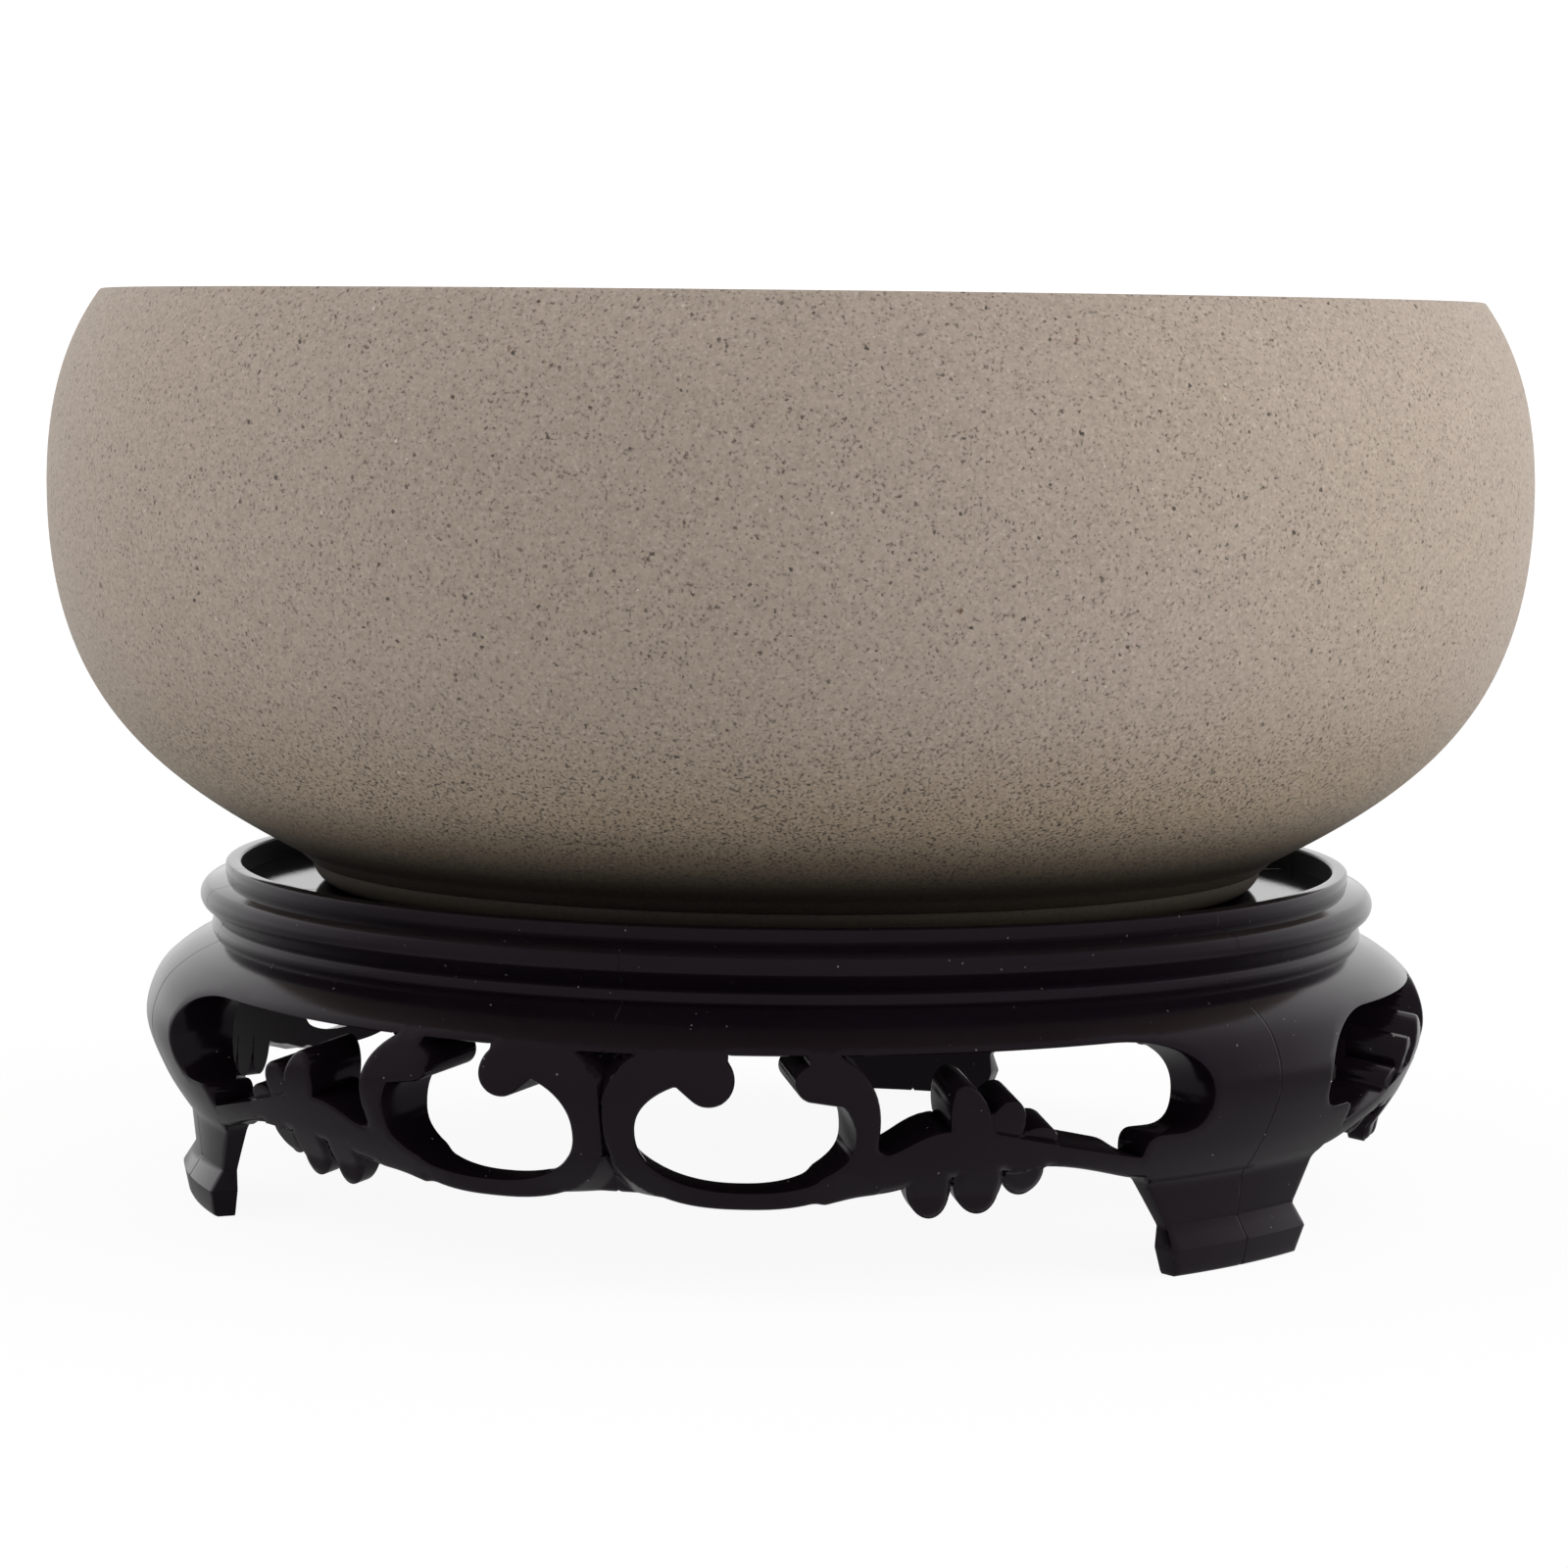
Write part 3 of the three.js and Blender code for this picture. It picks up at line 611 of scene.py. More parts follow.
def sheet_lines():
    """Points and edges of the lines that the triangles keep: outline, rounded edges, steps and creases."""
    margin = 2 * RASTER
    xs = np.arange(-margin, SEGMENT_ARC + margin, RASTER)
    ys = np.arange(-margin, SHOULDER_HEIGHT + margin, RASTER)
    gx, gy = np.meshgrid(xs, ys, indexing="ij")
    distance, layers = openwork(gx, gy)
    outline, rounding = bounded(gx, gy, distance)
    points, edges = [], []

    def add_lines(line, links, kept):
        order = np.cumsum(kept) - 1 + len(points)
        edges.extend((order[a], order[b]) for a, b in links if kept[a] and kept[b])
        points.extend(p for p, keep in zip(line, kept) if keep)

    borders = [contour(outline, 0, xs, ys)]
    for level in (EDGE_ROUND / 3, EDGE_ROUND):
        borders.append(contour(np.minimum(rounding, outline + level / 2), level, xs, ys))
    for line, links in borders:
        add_lines(line, links, np.ones(len(line), bool))
    for number, (_, front, behind) in enumerate(layers):
        for level in (0, -STEP_WIDTH) if behind else ():
            line, links = contour(front, level, xs, ys)
            x, y = np.array(line).T
            near, shapes = openwork(x, y)
            add_lines(line, links, (shapes[number][0] > 0) & (bounded(x, y, near)[1] > EDGE_ROUND / 3))
    for height in FOOT_CREASES:
        x = np.arange(SEGMENT_ARC - KNEE_HALF, SEGMENT_ARC, CREASE_STEP)
        y = np.full(len(x), float(height))
        links = [(n, n + 1) for n in range(len(x) - 1)]
        add_lines(list(zip(x, y)), links, bounded(x, y, openwork(x, y)[0])[1] > EDGE_ROUND)
    return points, edges


def sheet_fill():
    """Points between those lines: a fine grid on the leaf and the webs, and a plain one elsewhere."""
    lengths = np.concatenate([[0], np.cumsum(np.hypot(*np.diff(FACE, axis=0).T))])
    rows = np.interp(np.arange(PLAIN_STEP / 2, lengths[-1], PLAIN_STEP), lengths, FACE[:, 1])
    columns = np.arange(PLAIN_STEP / 2, SEGMENT_ARC, PLAIN_STEP)
    plain = np.array([(x, y) for x in columns for y in rows])
    x, y = plain.T
    on_crease = np.abs(y[:, None] - FOOT_CREASES).min(1) < PLAIN_STEP / 2
    coarse = ~(on_crease & (x > SEGMENT_ARC - KNEE_HALF))
    scroll_foot = SKIRT_EDGE - SCROLL_DROP
    fine_areas = [
        (SCROLL_WIDTH, LEAF_ALONG + LEAF_PLACE, LEAF_HEIGHT - LEAF_PLACE, LEAF_HEIGHT + LEAF_PLACE),
        (0, WEB_REACH, SKIRT_EDGE - WEB_DROP, SKIRT_EDGE),
        (0, WEB_FOOT_REACH, scroll_foot, scroll_foot + WEB_FOOT_RISE),
    ]
    groups = []
    for left, right, low, high in fine_areas:
        coarse &= (x < left) | (x > right) | (y < low) | (y > high)
        columns = np.arange(left + FINE_STEP, right, FINE_STEP)
        fine = np.array([(along, height) for along in columns for height in np.arange(low, high, FINE_STEP)])
        groups.append((fine, FINE_STEP / 2))
    groups.append((plain[coarse], PLAIN_STEP / 2))
    points = []
    for group, clear in groups:
        x, y = group.T
        outline, rounding = bounded(x, y, openwork(x, y)[0])
        points.extend(map(tuple, group[(rounding > EDGE_ROUND + clear) & (outline > clear)]))
    return points


def sheet():
    """Flat triangles of the openwork: points along the drum and above the floor, and faces."""
    points, edges = sheet_lines()
    points += sheet_fill()
    made = delaunay_2d_cdt([Vector(p) for p in points], edges, [], 0, MERGE_REACH)
    flat = np.array([tuple(p) for p in made[0]])
    triangles = np.array([tuple(f) for f in made[2]])
    x, y = flat[triangles].mean(1).T
    triangles = triangles[bounded(x, y, openwork(x, y)[0])[0] > 0]
    a, b, c = (flat[triangles[:, n]] for n in range(3))
    area = (b[:, 0] - a[:, 0]) * (c[:, 1] - a[:, 1]) - (b[:, 1] - a[:, 1]) * (c[:, 0] - a[:, 0])
    triangles[area < 0] = triangles[area < 0][:, ::-1]
    used = np.unique(triangles)
    order = np.full(len(flat), -1)
    order[used] = np.arange(len(used))
    return flat[used], order[triangles]


def face_depth(x, y):
    """How far the moulded face lies below the drum: rounded edges, recessed layers and the foot's step."""
    distance, layers = openwork(x, y)
    low_leaf = ease(0, LOBE_ROUND, LEAF_PLACE - np.abs(x - LEAF_ALONG))
    low_leaf = low_leaf * ease(0, LOBE_ROUND, LEAF_HEIGHT - y)
    edge = EDGE_ROUND + (LOBE_ROUND - EDGE_ROUND) * low_leaf
    near = np.clip(edge - np.minimum(distance, y), 0, edge)
    depth = np.minimum(edge - np.sqrt(edge**2 - near**2 + TINY), LOBE_ROUND / 2)
    depth = np.maximum(depth, np.clip(SEAM_BEVEL - seam_distance(x), 0, SEAM_BEVEL))
    for layer, front, behind in layers:
        own = layer > -STEP_WIDTH / 2
        depth = depth + np.where(own, behind * np.clip(-front / STEP_WIDTH, 0, 1), 0)
    under_knee = ease(-KNEE_ROUND / 2, KNEE_ROUND, KNEE_HEIGHT - y)
    above_ankle = np.clip((y - ANKLE_HEIGHT) / (KNEE_HEIGHT - ANKLE_HEIGHT), 0, 1)
    on_foot = x > SEGMENT_ARC - KNEE_HALF - EDGE_ROUND
    return depth + np.where(on_foot, KNEE_STEP * under_knee * above_ankle, 0)


def lean(along, height):
    """Direction in which the walls of the openwork run inwards, and how steeply they rise."""
    skirt = ease(-EDGE_ROUND, 2 * EDGE_ROUND, height - skirt_edge(along))
    share = np.maximum(ease(LEAN_START, LEAN_END, along), skirt)
    return SEGMENT_ANGLE / 2 * (1 - share) + along / BULGE_RADIUS * share, PULL_RISE * (1 - share)


def openwork_mesh():
    """Points and faces of a right-hand openwork wall: moulded face, plain back, and the walls between."""
    flat, triangles = sheet()
    along, height = flat[:, 0], flat[:, 1]
    angle = along / BULGE_RADIUS
    way, rise = lean(along, height)
    face = drum_radius(height) - face_depth(along, height)
    front = np.stack([face * np.sin(angle), -face * np.cos(angle), height], 1)
    # Walk inwards from the face to the bore, or to the seam if that comes first
    px, py = front[:, 0], front[:, 1]
    dx, dy = -np.sin(way), np.cos(way)
    half = px * dx + py * dy
    reach = -half - np.sqrt(half**2 - (face**2 - drum_bore(height) ** 2))
    seam = np.where(dx < 0, (px - SEAM_GAP / 2) / np.maximum(-dx, TINY), np.inf)
    reach = np.minimum(reach, np.maximum(seam, SEAM_GAP))
    back = np.stack([px + dx * reach, py + dy * reach, height + rise * reach], 1)
    count = len(flat)
    sides = np.concatenate([triangles[:, [0, 1]], triangles[:, [1, 2]], triangles[:, [2, 0]]])
    keys = {tuple(e) for e in sides.tolist()}
    rim = [(a, b) for a, b in sides.tolist() if (b, a) not in keys]
    faces = triangles.tolist()
    faces += (triangles[:, ::-1] + count).tolist()
    faces += [[b, a, a + count, b + count] for a, b in rim]
    return np.concatenate([front, back]), faces


def ring_profile():
    """Closed profile of the ring as radius and height, against the clock."""
    top = STAND_HEIGHT
    groove_top = top - LIP_HEIGHT
    bead_middle = groove_top - GROOVE_DEPTH - BEAD_RADIUS - BEAD_DROP
    small_middle = bead_middle - BEAD_RADIUS - SMALL_BEAD_RADIUS - SMALL_BEAD_DROP
    ledge = top - LEDGE_DROP
    bead_place = (LIP_RADIUS + BEAD_REACH - BEAD_RADIUS, bead_middle)
    small_place = (LIP_RADIUS + SMALL_BEAD_REACH - SMALL_BEAD_RADIUS, small_middle)
    return np.concatenate(
        [
            [(RING_BORE, SHOULDER_HEIGHT - SHOULDER_LAP), (LIP_RADIUS, SHOULDER_HEIGHT - SHOULDER_LAP)],
            arc(small_place, SMALL_BEAD_RADIUS, -BEAD_TURN, BEAD_TURN, SMALL_BEAD_STEPS),
            arc(bead_place, BEAD_RADIUS, -BEAD_TURN, BEAD_TURN, BEAD_STEPS),
            [(LIP_RADIUS - GROOVE_CUT, groove_top - GROOVE_DEPTH)],
            [(LIP_RADIUS, groove_top)],
            arc((LIP_RADIUS - LIP_ROUND, top - LIP_ROUND), LIP_ROUND, 0, math.pi / 2, LIP_STEPS),
            arc((LIP_INNER + LIP_ROUND, top - LIP_ROUND), LIP_ROUND, math.pi / 2, math.pi, LIP_STEPS),
            [
                (LIP_INNER, ledge),
                (LIP_INNER - LEDGE_WIDTH, ledge),
                (LIP_INNER - LEDGE_WIDTH, ledge - LEDGE_THICKNESS),
                (RING_BORE, ledge - LEDGE_THICKNESS),
            ],
        ]
    )


def ring_mesh():
    """Points and faces of the ring of a right-hand segment, its ends bevelled at the seams."""
    profile = ring_profile()
    inner = profile - profile.mean(0)
    inner = profile - inner / np.linalg.norm(inner, axis=1)[:, None] * SEAM_BEVEL
    start = SEAM_GAP / 2 / BULGE_RADIUS
    end = SEGMENT_ANGLE - start
    bevel = SEAM_BEVEL / BULGE_RADIUS
    turns = np.linspace(start + 3 * bevel, end - 3 * bevel, ARC_STEPS)
    stations = [(start, inner), (start + bevel, profile)]
    stations += [(a, profile) for a in turns]
    stations += [(end - bevel, profile), (end, inner)]
    points = np.concatenate(
        [np.stack([p[:, 0] * math.sin(a), -p[:, 0] * math.cos(a), p[:, 1]], 1) for a, p in stations]
    )
    count = len(profile)
    faces = []
    for step in range(len(stations) - 1):
        for n in range(count):
            a, b = step * count + n, step * count + (n + 1) % count
            faces.append([a, a + count, b + count, b])
    faces.append(list(range(count)))
    faces.append(list(range((len(stations) - 1) * count, len(stations) * count))[::-1])
    return points, faces


def stand_pieces(material):
    """The six segments of the stand: three right-hand ones and their mirror images."""
    wall_points, wall_faces = openwork_mesh()
    ring_points, ring_faces = ring_mesh()
    points = np.concatenate([wall_points, ring_points])
    faces = wall_faces + [[n + len(wall_points) for n in face] for face in ring_faces]
    twin = points * [-1, 1, 1]
    twin_faces = [face[::-1] for face in faces]
    for third in range(3):
        for side, where, what in (("right", points, faces), ("left", twin, twin_faces)):
            node = f"stand_{side}_{third + 1}"
            place = turned(where, third * 2 * SEGMENT_ANGLE)
            piece = mesh_object(f"{node}_moulding", place, what, material)
            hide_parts(node)
            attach(piece, "stand")


# Bowl


def bowl_outside():
    """Profile of the outside from the neck above the foot to the rim."""
    neck, neck_height = FOOT_RADIUS + COVE_REACH, FOOT_HEIGHT + COVE_RISE
    under_belly = bezier(
        (neck, neck_height),
        (neck + FLARE_REACH, neck_height + FLARE_RISE),
        (BELLY_RADIUS, BELLY_HEIGHT - BELLY_UNDER),
        (BELLY_RADIUS, BELLY_HEIGHT),
        OUTSIDE_STEPS,
    )
    over_belly = bezier(
        (BELLY_RADIUS, BELLY_HEIGHT),
        (BELLY_RADIUS, BELLY_HEIGHT + BELLY_OVER),
        (RIM_RADIUS + RIM_LEAN, BOWL_HEIGHT - RIM_DROP),
        (RIM_RADIUS, BOWL_HEIGHT),
        OUTSIDE_STEPS,
    )
    return np.concatenate([under_belly, over_belly[1:]])


def bowl_inside(floor):
    """Profile of the inside from the rim down to the floor."""
    belly = BELLY_RADIUS - BOWL_WALL
    rim = RIM_RADIUS - RIM_BREADTH
    foot = FOOT_RADIUS - BOWL_WALL
    over_belly = bezier(
        (rim, BOWL_HEIGHT),
        (rim + RIM_LEAN, BOWL_HEIGHT - RIM_DROP),
        (belly, BELLY_HEIGHT + BELLY_OVER),
        (belly, BELLY_HEIGHT),
        INSIDE_STEPS,
    )
    under_belly = bezier(
        (belly, BELLY_HEIGHT),
        (belly, BELLY_HEIGHT - BELLY_UNDER),
        (foot + FLARE_REACH, floor + FLARE_RISE),
        (foot, floor),
        INSIDE_STEPS,
    )
    drain = (DRAIN_RADIUS + DRAIN_ROUND, floor)
    turn = spline([(foot, floor), (foot - FLOOR_TURN, floor), drain], HOLLOW_STEPS)
    return np.concatenate([over_belly, under_belly[1:], turn[1:]])


def bowl_profile():
    """Closed profile of the bowl from the drain hole under the foot, up the outside and down the inside."""
    floor = FOOT_RECESS + FLOOR_THICKNESS
    under = FOOT_RADIUS - FOOT_RING
    low_rim = BOWL_HEIGHT - RIM_ROUND
    inner_rim = RIM_RADIUS - RIM_BREADTH
    drain = (DRAIN_RADIUS + DRAIN_ROUND, floor - DRAIN_ROUND)
    outside, inside = bowl_outside(), bowl_inside(floor)
    cove = [(FOOT_RADIUS, FOOT_BEVEL), (FOOT_RADIUS + COVE_REACH / 4, FOOT_HEIGHT), tuple(outside[0])]
    return np.concatenate(
        [
            [
                (DRAIN_RADIUS, FOOT_RECESS),
                (under - FOOT_CHAMFER, FOOT_RECESS),
                (under, FOOT_RECESS - FOOT_CHAMFER),
                (under, FOOT_ROUND),
            ],
            arc((under + FOOT_ROUND, FOOT_ROUND), FOOT_ROUND, math.pi, 1.5 * math.pi, FOOT_STEPS),
            arc((FOOT_RADIUS - FOOT_BEVEL, FOOT_BEVEL), FOOT_BEVEL, -math.pi / 2, 0),
            spline(cove, HOLLOW_STEPS)[1:-1],
            outside[outside[:, 1] < low_rim],
            arc((RIM_RADIUS - RIM_ROUND / 2, low_rim), RIM_ROUND, RIM_TURN, math.pi / 2, RIM_STEPS),
            arc((inner_rim + RIM_ROUND, low_rim), RIM_ROUND, math.pi / 2, math.pi, RIM_STEPS),
            inside[inside[:, 1] < low_rim],
            arc(drain, DRAIN_ROUND, math.pi / 2, math.pi, RIM_STEPS)[1:],
        ]
    )


def bowl_piece(material):
    """The bowl, turned from its profile."""
    profile = bowl_profile()
    profile[:, 1] += BOWL_BASE
    turn = np.arange(BOWL_SIDES) * 2 * math.pi / BOWL_SIDES
    points = np.concatenate(
        [np.stack([r * np.cos(turn), r * np.sin(turn), np.full(BOWL_SIDES, z)], 1) for r, z in profile]
    )
    faces = []
    rows = len(profile)
    for row in range(rows):
        low, high = row * BOWL_SIDES, (row + 1) % rows * BOWL_SIDES
        for n in range(BOWL_SIDES):
            m = (n + 1) % BOWL_SIDES
            faces.append([low + n, low + m, high + m, high + n])
    piece = mesh_object("bowl_body", points, faces, material)
    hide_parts("bowl")
    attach(piece, "bowl")


# Materials


def material_nodes(name):
    """New material with its node tree and its shader."""
    material = bpy.data.materials.new(name)
    material.use_nodes = True
    tree = material.node_tree
    return material, tree, tree.nodes["Principled BSDF"]


def plug(tree, socket, value):
    """Set a socket to a value, or link it where the value is a socket itself."""
    if isinstance(value, bpy.types.NodeSocket):
        tree.links.new(value, socket)
    else:
        socket.default_value = value


def node(tree, kind, inputs=(), **settings):
    """New node with settings and with inputs given as values or sockets."""
    made = tree.nodes.new(kind)
    for key, value in settings.items():
        setattr(made, key, value)
    for key, value in dict(inputs).items():
        plug(tree, made.inputs[key], value)
    return made


def ramp(tree, value, start, end, first=0, last=1, kind="LINEAR"):
    """Value mapped from start and end to first and last, and held beyond them."""
    inputs = {"Value": value, "From Min": start, "From Max": end, "To Min": first, "To Max": last}
    return node(tree, "ShaderNodeMapRange", inputs, interpolation_type=kind).outputs["Result"]


def reckon(tree, operation, *values):
    """Result of a math operation on numbers or sockets."""
    return node(tree, "ShaderNodeMath", dict(enumerate(values)), operation=operation).outputs["Value"]


def vector_node(tree, operation, *values):
    """Node for a math operation on vectors."""
    return node(tree, "ShaderNodeVectorMath", dict(enumerate(values)), operation=operation)


def coordinates(tree, kind):
    """Texture coordinates of a kind."""
    return node(tree, "ShaderNodeTexCoord").outputs[kind]


def part_of(tree, vector, axis):
    """One coordinate of a vector."""
    return node(tree, "ShaderNodeSeparateXYZ", {"Vector": vector}).outputs[axis]


def light_path(tree, kind):
    """1 for rays of a kind, 0 for others."""
    return node(tree, "ShaderNodeLightPath").outputs[kind]


def noise(tree, where, scale, detail):
    """Soft noise with a scale in waves per metre."""
    return node(tree, "ShaderNodeTexNoise", {"Vector": where, "Scale": scale, "Detail": detail})


def mixed(tree, share, first, second):
    """Colour between first and second."""
    made = node(tree, "ShaderNodeMix", data_type="RGBA")
    for name, value in (("Factor", share), ("A", first), ("B", second)):
        plug(tree, [s for s in made.inputs if s.name == name and s.enabled][0], value)
    return [s for s in made.outputs if s.enabled][0]


def specks(tree, where, spacing, share, radius):
    """Mask of specks in a body: one per cell of the spacing, in a share of the cells, up to a radius."""
    cells = node(tree, "ShaderNodeTexVoronoi", {"Vector": where, "Scale": 1 / (spacing * MM)})
    draw = node(tree, "ShaderNodeSeparateColor", {"Color": cells.outputs["Color"]})
    largest = radius / spacing
    reach = ramp(tree, draw.outputs["Red"], 1 - share, 1, 0, largest)
    inside = reckon(tree, "SUBTRACT", reach, cells.outputs["Distance"])
    mask = ramp(tree, inside, 0, SPECK_EDGE * largest, kind="SMOOTHSTEP")
    strength = ramp(tree, draw.outputs["Green"], 0, 1, SPECK_FAINTEST, 1)
    return reckon(tree, "MULTIPLY", mask, strength)


def relief(tree, shader, height, strength, depth):
    """Fine bumps on a shader's surface."""
    inputs = {"Height": height, "Strength": strength, "Distance": depth * MM}
    plug(tree, shader.inputs["Normal"], node(tree, "ShaderNodeBump", inputs).outputs["Normal"])


def low_share(tree, where, start, end, most):
    """Share of a tint on the outside of the bowl: none above start, most from end down."""
    high, low = ((BOWL_BASE + height) * MM for height in (start, end))
    share = ramp(tree, part_of(tree, where, "Z"), high, low, 0, most, "SMOOTHSTEP")
    upward = part_of(tree, coordinates(tree, "Normal"), "Z")
    return reckon(tree, "MULTIPLY", share, ramp(tree, upward, *OUTSIDE_TILT))


def stoneware():
    """Matte warm grey clay with specks and painted glints, browner and sandier towards its foot, and
    darkened there by painted shade.
    """
    material, tree, shader = material_nodes("stoneware")
    where = coordinates(tree, "Object")
    cloud = noise(tree, where, *CLOUD_NOISE).outputs["Fac"]
    stain = noise(tree, where, *STAIN_NOISE).outputs["Fac"]
    grain = noise(tree, where, *GRAIN_NOISE).outputs["Fac"]
    gritty = noise(tree, where, *GRIT_NOISE)
    grit = gritty.outputs["Fac"]
    shift = vector_node(tree, "MULTIPLY_ADD", gritty.outputs["Color"], (SPECK_RAG * MM,) * 3, where)
    ragged = shift.outputs["Vector"]
    fine = specks(tree, ragged, *FINE_SPECKS)
    sand = reckon(tree, "MULTIPLY", ramp(tree, grit, *SAND_SHARE), low_share(tree, where, *SAND_BAND))
    colour = mixed(tree, cloud, CLAY_DEEP, CLAY_PALE)
    for share, tint in (
        (ramp(tree, stain, *STAIN_SHARE), CLAY_TAN),
        (ramp(tree, grain, *GRAIN_SHARE), CLAY_BROWN),
        # browner clay towards the foot, partly painted shade
        (low_share(tree, where, *TAN_AND_SHADE_BAND), FOOT_TAN_AND_SHADE),
        (ramp(tree, grit, *GRIT_SHARE), GRIT_DARK),
        (ramp(tree, grit, *PALE_SHARE), GRIT_PALE),
        (fine, FINE_DARK),
        (specks(tree, ragged, *BROAD_SPECKS), BROAD_DARK),
        (specks(tree, ragged, *BROWN_SPECKS), SPECK_BROWN),
        # painted glints as pale specks
        (specks(tree, ragged, *PAINTED_GLINT_SPECKS), PAINTED_GLINT),
        (sand, SAND_DARK),
        # painted shade darkening the bowl's foot
        (low_share(tree, where, *PAINTED_SHADE_BAND), FOOT_PAINTED_SHADE),
    ):
        colour = mixed(tree, share, colour, tint)
    plug(tree, shader.inputs["Base Color"], colour)
    plug(tree, shader.inputs["Roughness"], ramp(tree, cloud, 0, 1, *CLAY_ROUGHNESS))
    shader.inputs["Specular IOR Level"].default_value = CLAY_SPECULAR
    relief(tree, shader, reckon(tree, "SUBTRACT", grain, fine), *CLAY_RELIEF)
    return material


def painted_seam_highlight(tree, where):
    """Broken pale line painted along the seams, which stand at every sixth of a turn: a painted highlight of
    their edges.
    """
    turn = reckon(tree, "ARCTAN2", part_of(tree, where, "X"), part_of(tree, where, "Y"))
    off = reckon(tree, "PINGPONG", reckon(tree, "DIVIDE", turn, SEGMENT_ANGLE), 0.5)
    line = ramp(tree, off, SEAM_HIGHLIGHT_REACH / SEGMENT_ARC, 0)
    patch = noise(tree, where, *SEAM_HIGHLIGHT_NOISE).outputs["Fac"]
    return reckon(tree, "MULTIPLY", line, ramp(tree, patch, *SEAM_HIGHLIGHT_SHARE))


def stand_plastic():
    """Near-black moulded plastic with pale dust specks and a painted highlight along the seams, glossy on
    level faces and matte on inward ones.
    """
    material, tree, shader = material_nodes("stand_plastic")
    where = coordinates(tree, "Object")
    normal = coordinates(tree, "Normal")
    haze = noise(tree, where, *HAZE_NOISE).outputs["Fac"]
    skin = noise(tree, where, *SKIN_NOISE).outputs["Fac"]
    colour = mixed(tree, haze, BLACK_DEEP, BLACK_PALE)
    colour = mixed(tree, specks(tree, where, *DUST_SPECKS), colour, DUST)
    # painted highlight along the seams
    colour = mixed(tree, painted_seam_highlight(tree, where), colour, SEAM_HIGHLIGHT_PAINT)
    plug(tree, shader.inputs["Base Color"], colour)
    outward = vector_node(tree, "DOT_PRODUCT", normal, where).outputs["Value"]
    rough = ramp(tree, haze, 0, 1, *PLASTIC_ROUGHNESS)
    rough = ramp(tree, part_of(tree, normal, "Z"), *LEVEL_TILT, rough, LEVEL_ROUGHNESS)
    rough = ramp(tree, outward, *INNER_FACING, rough, INNER_ROUGHNESS)
    plug(tree, shader.inputs["Roughness"], rough)
    shader.inputs["Specular IOR Level"].default_value = PLASTIC_SPECULAR
    shader.inputs["Specular Tint"].default_value = PLASTIC_SHINE
    relief(tree, shader, skin, *PLASTIC_RELIEF)
    return material


# Stage


def seen_directly(tree):
    """1 for rays that show the background: camera, glossy and transmission rays."""
    either = reckon(tree, "MAXIMUM", light_path(tree, "Is Camera Ray"), light_path(tree, "Is Glossy Ray"))
    return reckon(tree, "MAXIMUM", either, light_path(tree, "Is Transmission Ray"))


def frontness(tree, way):
    """1 for a level direction towards the camera, -1 for one away from it."""
    towards = (math.sin(CAMERA_AZIMUTH), -math.cos(CAMERA_AZIMUTH), 0)
    return vector_node(tree, "DOT_PRODUCT", way, towards).outputs["Value"]


def surround_level(tree, front, front_level):
    """Brightness of the surround in a direction: white at the back, dimmer towards the camera."""
    return ramp(tree, front, *SURROUND_TURN, SURROUND_BACK, front_level)


def white_to_camera(tree, level):
    """Strength of at least 1 for camera rays, and of the level given for all others."""
    return reckon(tree, "MAXIMUM", light_path(tree, "Is Camera Ray"), level)


def floor_white():
    """Floor that shows white and keeps a soft shadow; its glow, which gloss sees, dims beside the object as
    a painted shadow.
    """
    material, tree, shader = material_nodes("floor_white")
    bounced = light_path(tree, "Is Diffuse Ray")
    plug(tree, shader.inputs["Base Color"], mixed(tree, bounced, GROUND_COLOUR, GROUND_BOUNCE))
    shader.inputs["Roughness"].default_value = GROUND_ROUGHNESS
    shader.inputs["Specular IOR Level"].default_value = 0
    where = coordinates(tree, "Object")
    away = vector_node(tree, "LENGTH", where).outputs["Value"]
    front = frontness(tree, vector_node(tree, "NORMALIZE", where).outputs["Vector"])
    # painted shadow: the glow dims close beside the object
    shadow_level = ramp(tree, front, *GROUND_TURN, GROUND_SHADOW_LEVEL, 1)
    near = reckon(tree, "DIVIDE", GROUND_SHADOW_REACH, away)
    painted_shadow = ramp(tree, near, 0, 1, 1, shadow_level)
    level = reckon(tree, "MULTIPLY", surround_level(tree, front, SURROUND_FRONT), painted_shadow)
    inputs = {"Color": WHITE, "Strength": white_to_camera(tree, level)}
    glow = node(tree, "ShaderNodeEmission", inputs).outputs["Emission"]
    fade = ramp(tree, away, *GROUND_FADE, GROUND_GLOW, 1, "SMOOTHSTEP")
    share = reckon(tree, "MULTIPLY", seen_directly(tree), fade)
    mix = node(tree, "ShaderNodeMixShader", {"Fac": share, 1: shader.outputs["BSDF"], 2: glow})
    plug(tree, tree.nodes["Material Output"].inputs["Surface"], mix.outputs["Shader"])
    return material


def stage_floor():
    """Wide level floor."""
    mesh = bpy.data.meshes.new("floor")
    half = GROUND_HALF
    corners = [(-half, -half, 0), (half, -half, 0), (half, half, 0), (-half, half, 0)]
    mesh.from_pydata(corners, [], [(0, 1, 2, 3)])
    mesh.materials.append(floor_white())
    floor = bpy.data.objects.new("floor", mesh)
    bpy.context.scene.collection.objects.link(floor)


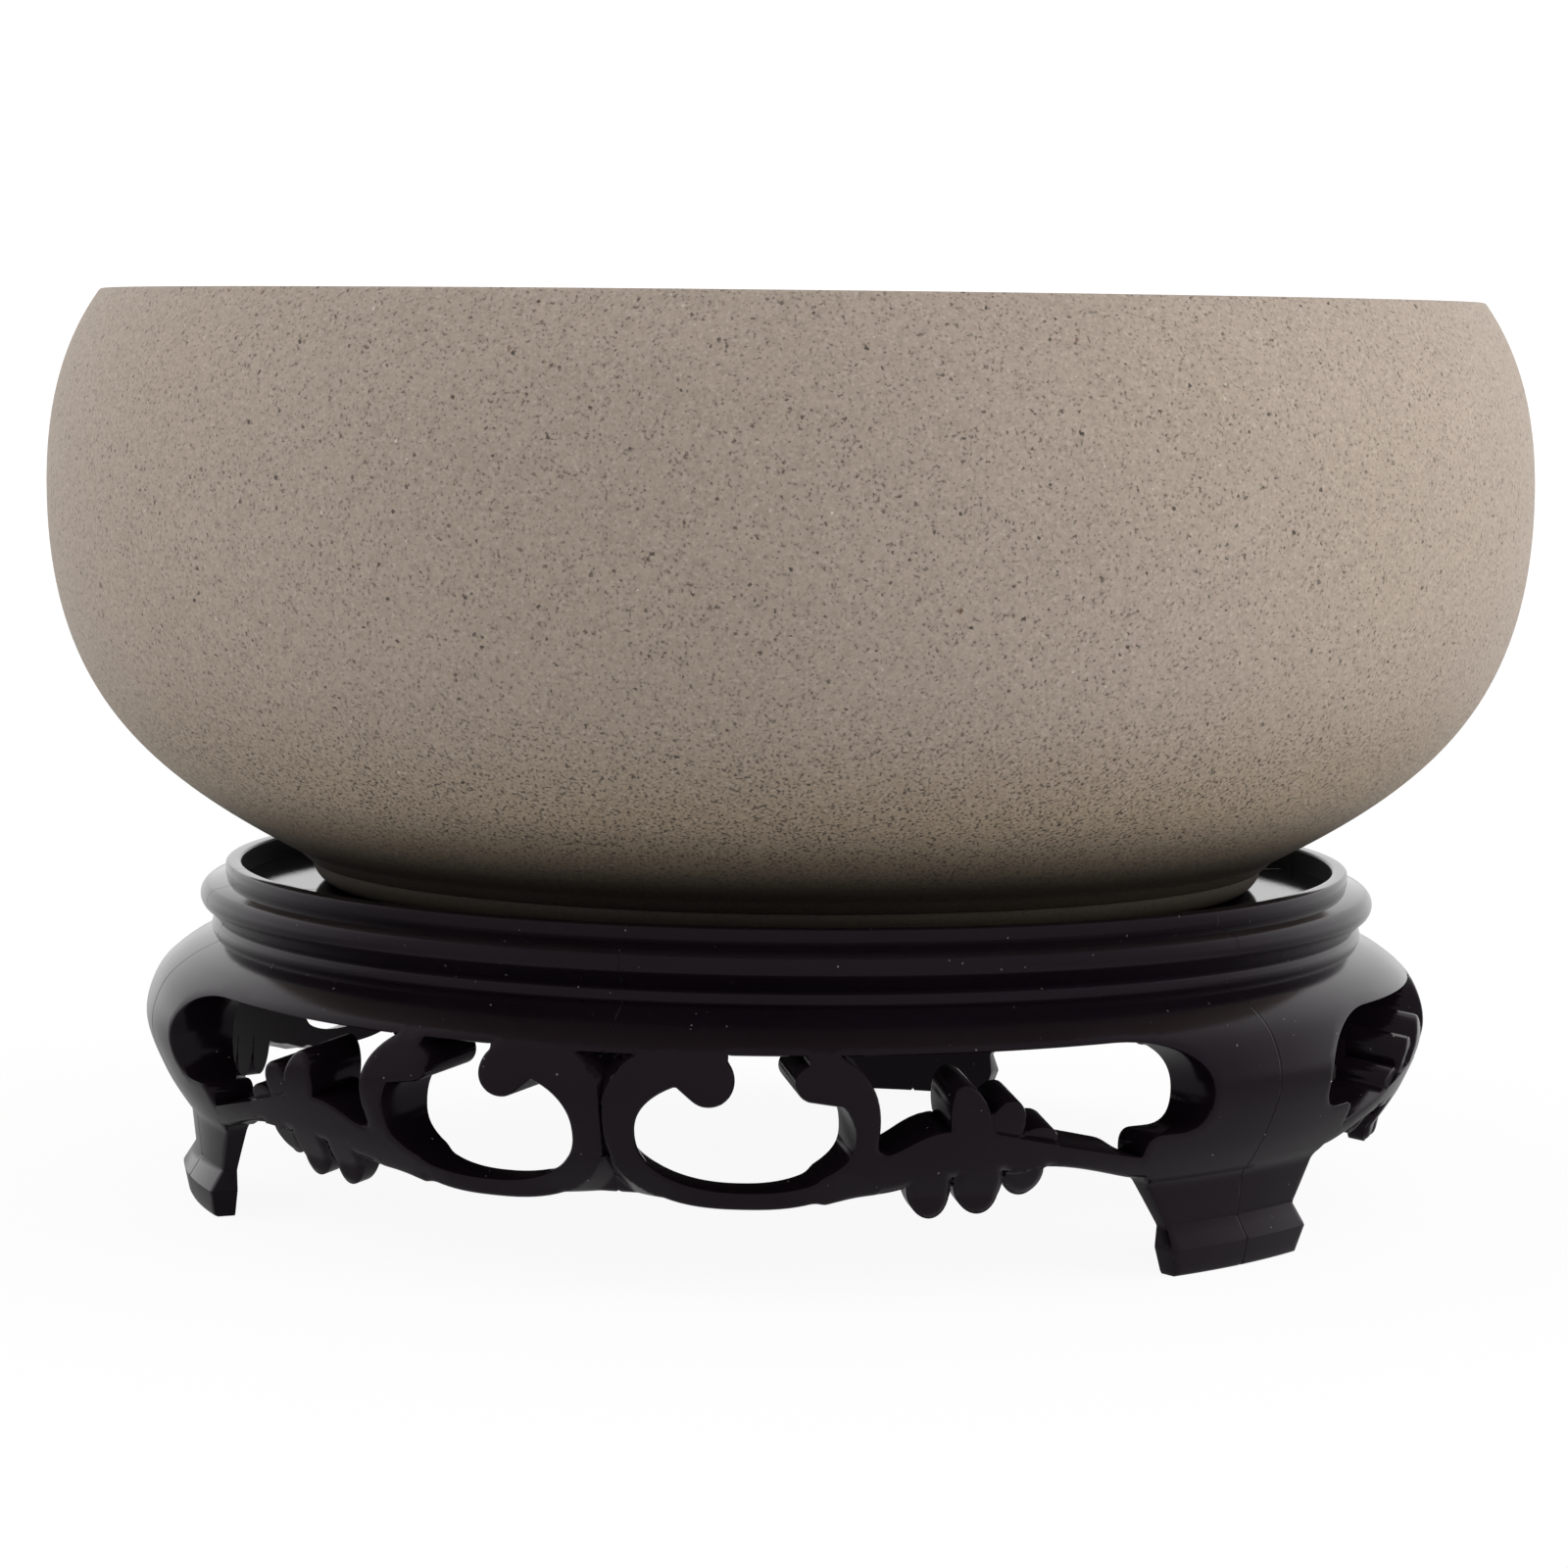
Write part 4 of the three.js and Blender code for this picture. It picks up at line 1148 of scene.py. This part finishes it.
def stage_world():
    """White surround, brightest at the back, with more fill at the front for matte surfaces."""
    world = bpy.data.worlds.new("surround")
    bpy.context.scene.world = world
    world.use_nodes = True
    tree = world.node_tree
    background = tree.nodes["Background"]
    front = frontness(tree, coordinates(tree, "Generated"))
    diffuse = light_path(tree, "Is Diffuse Ray")
    front_level = reckon(tree, "MULTIPLY_ADD", diffuse, SURROUND_FILL, SURROUND_FRONT)
    level = surround_level(tree, front, front_level)
    plug(tree, background.inputs["Strength"], white_to_camera(tree, level))
    background.inputs["Color"].default_value = WHITE


def softbox(name, azimuth, elevation, distance, size, power):
    """Square soft light aimed at the middle of the object."""
    a, e = CAMERA_AZIMUTH + math.radians(azimuth), math.radians(elevation)
    back = Vector((math.sin(a) * math.cos(e), -math.cos(a) * math.cos(e), math.sin(e)))
    light = bpy.data.lights.new(name, "AREA")
    light.size = size
    light.energy = power
    lamp = bpy.data.objects.new(name, light)
    lamp.location = Vector((0, 0, LAMP_AIM)) + back * distance
    lamp.rotation_euler = (-back).to_track_quat("-Z", "Y").to_euler()
    lamp.visible_glossy = False
    bpy.context.scene.collection.objects.link(lamp)


def stage_lights():
    """Soft lights at both sides and above."""
    for name, setting in LAMPS.items():
        softbox(name, *setting)


def stage_camera():
    """Camera at the photograph's place."""
    a = CAMERA_AZIMUTH
    c, s = math.cos(CAMERA_PITCH), math.sin(CAMERA_PITCH)
    right = Vector((math.cos(a), math.sin(a), 0))
    ahead = Vector((-math.sin(a) * c, math.cos(a) * c, -s))
    up = right.cross(ahead)
    turn = Matrix((right, up, -ahead)).transposed() @ Matrix.Rotation(CAMERA_ROLL, 3, "Z")
    camera = bpy.data.objects.new("camera", bpy.data.cameras.new("camera"))
    camera.data.lens = LENS
    camera.data.sensor_width = SENSOR
    camera.data.clip_start = CLIP_START
    place = Vector((math.sin(a) * CAMERA_DISTANCE, -math.cos(a) * CAMERA_DISTANCE, CAMERA_HEIGHT))
    camera.matrix_world = Matrix.Translation(place + right * CAMERA_SIDE) @ turn.to_4x4()
    bpy.context.scene.collection.objects.link(camera)
    bpy.context.scene.camera = camera


bpy.context.scene.view_settings.view_transform = "Standard"
stage_camera()
stand_pieces(stand_plastic())
bowl_piece(stoneware())
stage_floor()
stage_world()
stage_lights()
